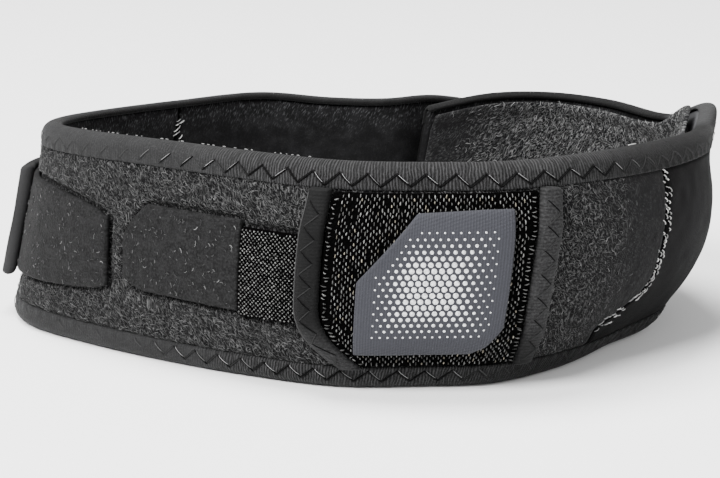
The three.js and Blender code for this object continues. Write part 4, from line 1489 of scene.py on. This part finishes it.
class STRAP_OT_hook_tabs(StrapOperator):
    """The two hook tabs, the hidden closure, and the hooks that catch the light"""

    bl_idname = "strap.hook_tabs"
    bl_label = "Hook tabs"

    def build(self, strap):
        wall, c = strap.wall, strap.cloth
        material = paint_hook("hook_tape", strap)
        hooks = paint_thread("hook_tips", (0.012, 0.012, 0.012), (0.26, 0.26, 0.26))
        close_end = wall.outer_end - c.closure_margin
        front = (strap.tab_start, strap.tab_end)
        side = (strap.side_tab_start, strap.side_tab_end)
        closure = (close_end - c.closure_length, close_end)
        beneath = (-strap.face - c.closure_wall, -strap.face)
        over = (strap.face, strap.face + c.tab_wall)
        front_shape = (FRONT_TAB_CENTRE, c.front_tab_width, FRONT_TAB_OUTLINE)
        side_shape = (STRAP_CENTRE, c.side_tab_width, SIDE_TAB_OUTLINE)
        closure_shape = (STRAP_CENTRE, c.closure_width, None)
        self.tab(strap, "front_tab", "front_hook_tab", front, front_shape, over, material, hooks)
        self.tab(strap, "side_tab", "side_hook_tab", side, side_shape, over, material, hooks)
        self.tab(strap, "closure_tape", "closure_patch", closure, closure_shape, beneath, material, None)

    def tab(self, strap, name, node, span, shape, walls, material, hooks):
        """A tab over its span, and its hooks where their material is given.

        shape is its centre as a share of the height, its width and its outline, and walls are its two faces.
        """
        start, end = span
        centre, width, outline = shape
        under, over = walls

        def edges(part, top):
            return strap.strip_edges(top, centre, width, outline, part)

        def faces(along, height, part):
            wavy = 0.1 * noise(along, height, pitch=4, seed=17)
            wavy = wavy + 0.05 * noise(along, height, pitch=1.3, seed=18)
            return under + 0 * along, over + wavy * (under > 0)

        options = {"levels": 32, "step": 0.6, "rounding": 0.5, "clip": 1.2}
        ends = (still(start), still(end))
        made = strip(name, strap.wall, ends, edges, faces, material, node, "hook", **options)
        going = []
        if hooks:
            going = [self.tips(strap, name, start, end, edges, over, hooks)]
        (end - start) * MM

    @staticmethod
    def tips(strap, name, start, end, edges, out, material):
        """Small bent hooks, scattered over the tape: most are dim, a few are large and catch the light."""
        wall = strap.wall
        random = np.random.RandomState(len(name))
        count = int((end - start) * HOOK_CROWD)
        along = random.uniform(start + 0.6, end - 0.6, count)
        low, high = edges((along - start) / (end - start), wall.top(along))
        height = lerp(low + 0.5, high - 0.5, random.uniform(size=count))
        place, across, up, normal = wall.frame(along, height, out + 0.02)
        turn = random.uniform(0, np.pi, count)[:, None]
        way = np.cos(turn) * across + np.sin(turn) * up
        size = (0.14 + 0.5 * random.beta(1.4, 3.6, count))[:, None, None]
        bend = np.linspace(0, 1, 6)[None, :, None] * random.uniform(1.6, 3.4, count)[:, None, None]
        aside = np.cross(way, normal)[:, None]
        rise = 0.35 * np.sin(bend) * normal[:, None]
        paths = place[:, None] + size * (np.cos(bend) * way[:, None] + 0.6 * np.sin(bend) * aside + rise)
        normals = np.broadcast_to(normal[:, None], paths.shape)
        # painted glint: larger hooks are given a lighter colour
        painted_highlight = random.beta(1, 3.5, count) * (0.35 + 1.6 * size[:, 0, 0])
        marks = pair(painted_highlight, np.zeros(count))
        return thread_piece(name + "_hooks", paths, normals, 0.05, marks, material, 4)


class STRAP_OT_side_strap(StrapOperator):
    """The strap round the back, whose free end lies over the side tab"""

    bl_idname = "strap.side_strap"
    bl_label = "Side strap"

    def build(self, strap):
        wall, c = strap.wall, strap.cloth

        def edges(part, top):
            return strap.strip_edges(top, SIDE_STRAP_CENTRE, c.side_strap_width)

        def faces(along, height, part):
            under = strap.side_strap_under(along)
            hem = 0.55 * smooth((strap.side_strap_start + 6 - along) / 4)
            return under - hem, under + c.strap_wall + 0.08 * noise(along, height, pitch=5, seed=31)

        def free_end(height_share):
            return strap.side_strap_start + 1.2 * np.sin(np.pi * np.clip(height_share, 0, 1)) ** 2

        ends = (free_end, still(strap.side_strap_end))
        weave = paint_strap("strap_weave", strap)
        options = {"levels": 32, "step": 0.8, "rounding": 1.0}
        made = strip("side_strap_cloth", wall, ends, edges, faces, weave, "side_strap", "strap", **options)
        flat = ((strap.side_strap_end - strap.side_strap_start) * MM, c.side_strap_width * MM)


class STRAP_OT_seams(StrapOperator):
    """The light zigzag seams between the stretches of the band, outside and inside"""

    bl_idname = "strap.seams"
    bl_label = "Seams"

    def build(self, strap):
        c = strap.cloth
        light = paint_thread("seam_thread", (0.16, 0.16, 0.16), strap.colours.thread_light)
        places = [
            ("right_seam_outside", strap.front_seam, (8.2, 37.4), 1, (112, 38)),
            ("back_seam_inside", still(c.back_seam), (3.4, 33.8), -1, (30, 30)),
            ("back_seam_outside", still(c.back_seam), (5.6, 31.0), 1, (40, 40)),
        ]
        for name, line, span, side, angles in places:
            self.seam(strap, name, line, span, side, angles, light)
        self.crest_stitches(strap, light)

    @staticmethod
    def seam(strap, name, line, span, side, angles, material):
        """Two columns of short slanted stitches, evenly spaced by length along the seam's own line.

        angles are a stitch's slant from straight across the seam at its foot and at its head, in degrees.
        """
        wall, t = strap.wall, strap.thread
        random = np.random.RandomState(int(span[1] * 10))
        tall = wall.top(line(0.5))
        height = np.linspace(*span, 400)
        along = line(height / tall)
        run = np.concatenate([[0], np.cumsum(np.hypot(np.diff(along), np.diff(height)))])
        starts, ends, marks = [], [], []
        for column in (-1, 1):
            at = np.arange(0.3 + (column > 0) * t.seam_pitch / 2, run[-1], t.seam_pitch)
            at = at[random.uniform(size=len(at)) > 0.08]
            at = at + random.normal(0, 0.11, len(at))
            part = at / run[-1]
            centre = pair(np.interp(at, run, along), np.interp(at, run, height))
            ahead = pair(np.interp(at + 0.3, run, along), np.interp(at + 0.3, run, height))
            up = ahead - centre + np.array([0, 1e-6])
            up = up / np.linalg.norm(up, axis=-1, keepdims=True)
            across = pair(up[:, 1], -up[:, 0])
            slant = np.radians(lerp(*angles, part) + random.normal(0, 13, len(at)))[:, None]
            way = across * np.cos(slant) + up * np.sin(slant)
            aside = column * t.seam_width * 0.2 + random.normal(0, 0.34, len(at))[:, None]
            centre = centre + across * aside
            half = t.seam_width * random.uniform(0.08, 0.2, len(at))[:, None]
            starts.append(centre - way * half)
            ends.append(centre + way * half)
            marks.append(pair(random.beta(1.1, 1.6, len(at)), at * 0))
        starts, ends, marks = (np.concatenate(group) for group in (starts, ends, marks))

        def level(along, height):
            return strap.band_faces(along, height)[1 if side > 0 else 0]

        paths, normals = stitches(wall, starts, ends, level, 0.2 * side, 7)
        girth = t.thread * random.uniform(0.75, 1.3, (len(marks), 1)) * np.ones((1, 7))
        return thread_piece(name, paths, normals * side, girth, marks, material, 5)

    @staticmethod
    def crest_stitches(strap, material):
        """Tiny pale stitches along the inner crest of the top binding, and one longer loose end."""
        wall = strap.wall
        random = np.random.RandomState(CREST_SEED)
        along = np.arange(22, 80, 1.25)
        along = along[random.uniform(size=len(along)) > 0.3] + random.normal(0, 0.2)
        long = random.uniform(0.1, 0.35, len(along))
        along, long = np.append(along, -47.6), np.append(long, 1.5)
        starts = pair(along - long, wall.top(along - long) + 0.02)
        ends = pair(along + long, wall.top(along + long) + 0.02)
        marks = np.append(0.5 * random.beta(1.2, 2.2, len(along) - 1), 1.0)
        marks = pair(marks, along * 0)
        paths, normals = stitches(wall, starts, ends, -0.75, -0.05, 5)
        return thread_piece("crest_stitches", paths, normals, 0.08, marks, material, 5)


class STRAP_OT_pile(StrapOperator):
    """The fibres of the pile, lying over the plush of the front and of the lining"""

    bl_idname = "strap.pile"
    bl_label = "Pile"

    def build(self, strap):
        fibre = paint_thread("pile_fibre", (0.005, 0.005, 0.005), (0.17, 0.17, 0.17))
        lining_fibre = paint_thread("lining_fibre", (0.016, 0.016, 0.016), (0.34, 0.34, 0.34))
        inner_end = strap.wall.inner_end
        fields = [
            ("pile_middle", (-46, 60), (-46, -25), 1, 9500, fibre),
            ("pile_left", (60, 140), (0, 1), 1, 8000, fibre),
            ("pile_lining", (inner_end + 3, -60), (inner_end + 3, inner_end + 26), -1, 10000, lining_fibre),
        ]
        for field in fields:
            self.field(strap, *field)

    @staticmethod
    def field(strap, name, span, cover, side, count, material):
        """Bent fibres that start in the cloth, lean mostly one way, and end a little above it.

        They stand thinner and thinner from cover's second place to its first.
        """
        wall, c, t = strap.wall, strap.cloth, strap.thread
        random = np.random.RandomState(count)
        along = random.uniform(*span, count)
        top = wall.top(along)
        edge = c.tape_lap if side > 0 else c.tape_hem + 0.8
        height = lerp(edge, top - edge, random.uniform(size=count))
        share = height / top
        keep = random.uniform(size=count) < smooth((along - cover[0]) / (cover[1] - cover[0]))
        if side > 0:
            keep &= strap.tab_distance(along, height) > 0.25
            on_panel = (along > strap.panel_right(share) - 4.5) & (along < strap.panel_left(share) + 4.5)
            keep &= ~on_panel & (along > strap.front_seam(share) + 2.2)
        along, height = along[keep], height[keep]
        count = len(along)
        tilt = random.normal(np.radians(48), 0.6, count)
        long = t.fibre_length * random.uniform(0.4, 1.4, count)
        bend = random.normal(0, 0.5, count)
        share = np.linspace(0, 1, 4)[None, :]
        turn = tilt[:, None] + bend[:, None] * share
        path_along = along[:, None] + long[:, None] * share * np.cos(turn)
        path_height = height[:, None] + long[:, None] * share * np.sin(turn)
        lift = random.uniform(0.05, 0.3, count)[:, None] * np.sin(np.pi * 0.8 * share) - 0.03
        if side > 0:
            base = strap.band_faces(path_along, path_height)[1]
        else:
            base = strap.lining_face(path_along, path_height)
        paths, _, _, normals = wall.frame(path_along, path_height, base + side * lift)
        girth = t.fibre * np.array([1, 1, 0.9, 0.5]) * random.uniform(0.7, 1.25, (count, 1))
        marks = pair(random.beta(1.1, 3, count), np.zeros(count))
        slot = "plush" if side > 0 else "lining"
        return thread_piece(name, paths, normals, girth, marks, material, 3)


class STRAP_OT_stage(StrapOperator):
    """The pale floor, the soft studio lights and the camera"""

    bl_idname = "strap.stage"
    bl_label = "Stage"

    def build(self, strap):
        scene = bpy.context.scene
        self.floor(strap)
        self.world(scene)
        centre = Vector((0, 0, LIT_HEIGHT))
        for name, place, size, power in LIGHTS:
            self.light(name, place, centre, size, power)
        self.camera(scene, strap)

    @staticmethod
    def floor(strap):
        side = FLOOR_HALF
        corners = [(-side, -side, 0), (side, -side, 0), (side, side, 0), (-side, side, 0)]
        mesh = bpy.data.meshes.new("floor")
        mesh.from_pydata(corners, [], [(0, 1, 2, 3)])
        paint = Paint("pale_floor", Roughness=0.9, Specular_IOR_Level=0.1)
        where = paint.node("ShaderNodeTexCoord", None, output=3)
        cloudy = paint.noise(where, 6.0)
        base = tuple(strap.colours.floor)
        paint.feed("Base Color", paint.mix(cloudy, tint(base, 0.99), base))
        mesh.materials.append(paint.material)
        floor = bpy.data.objects.new("floor", mesh)
        bpy.context.scene.collection.objects.link(floor)

    @staticmethod
    def world(scene):
        world = bpy.data.worlds.new("pale_studio")
        world.use_nodes = True
        back = world.node_tree.nodes["Background"]
        back.inputs["Color"].default_value = (1, 1, 1, 1)
        back.inputs["Strength"].default_value = WORLD_LIGHT
        scene.world = world

    @staticmethod
    def light(name, place, target, size, power):
        lamp = bpy.data.lights.new(name, "AREA")
        lamp.shape = "DISK"
        lamp.size = size
        lamp.energy = power
        made = bpy.data.objects.new(name, lamp)
        made.location = place
        made.rotation_euler = (target - Vector(place)).to_track_quat("-Z", "Y").to_euler()
        bpy.context.scene.collection.objects.link(made)

    @staticmethod
    def camera(scene, strap):
        """Looks level across the front from its distance, lowered by the elevation and the drop."""
        view = scene.strap_camera
        data = bpy.data.cameras.new("camera")
        data.lens = view.lens
        data.sensor_width = 36
        data.clip_start = 0.01
        camera = bpy.data.objects.new("camera", data)
        middle = Vector(strap.wall.offset * MM) + Vector((0, 0, scene.strap_loop.height / 2))
        back = Vector((0, -np.cos(view.elevation), np.sin(view.elevation)))
        camera.location = middle + view.distance * back
        camera.rotation_euler = (np.pi / 2 - view.elevation - view.drop, 0, 0)
        scene.collection.objects.link(camera)
        scene.camera = camera


class STRAP_PT_panel(bpy.types.Panel):
    """The strap's operators, in the order in which they are used"""

    bl_idname = "STRAP_PT_panel"
    bl_label = "Patella strap"
    bl_space_type = "VIEW_3D"
    bl_region_type = "UI"
    bl_category = "Strap"

    def draw(self, context):
        for operator in OPERATORS:
            self.layout.operator(operator.bl_idname)


GROUPS = {
    "strap_loop": StrapLoop,
    "strap_cloth": StrapCloth,
    "strap_stitches": StrapStitches,
    "strap_colours": StrapColours,
    "strap_camera": StrapCamera,
}
OPERATORS = [
    STRAP_OT_band,
    STRAP_OT_lining,
    STRAP_OT_bindings,
    STRAP_OT_panel,
    STRAP_OT_front_strap,
    STRAP_OT_hook_tabs,
    STRAP_OT_side_strap,
    STRAP_OT_seams,
    STRAP_OT_pile,
    STRAP_OT_stage,
]


def register():
    for name, group in GROUPS.items():
        bpy.utils.register_class(group)
        setattr(bpy.types.Scene, name, PointerProperty(type=group))
    for operator in OPERATORS:
        bpy.utils.register_class(operator)
    bpy.utils.register_class(STRAP_PT_panel)


def unregister():
    bpy.utils.unregister_class(STRAP_PT_panel)
    for operator in reversed(OPERATORS):
        bpy.utils.unregister_class(operator)
    for name, group in reversed(GROUPS.items()):
        delattr(bpy.types.Scene, name)
        bpy.utils.unregister_class(group)


def main():
    register()
    for operator in OPERATORS:
        group, name = operator.bl_idname.split(".")
        getattr(getattr(bpy.ops, group), name)()


if __name__ == "__main__":
    main()
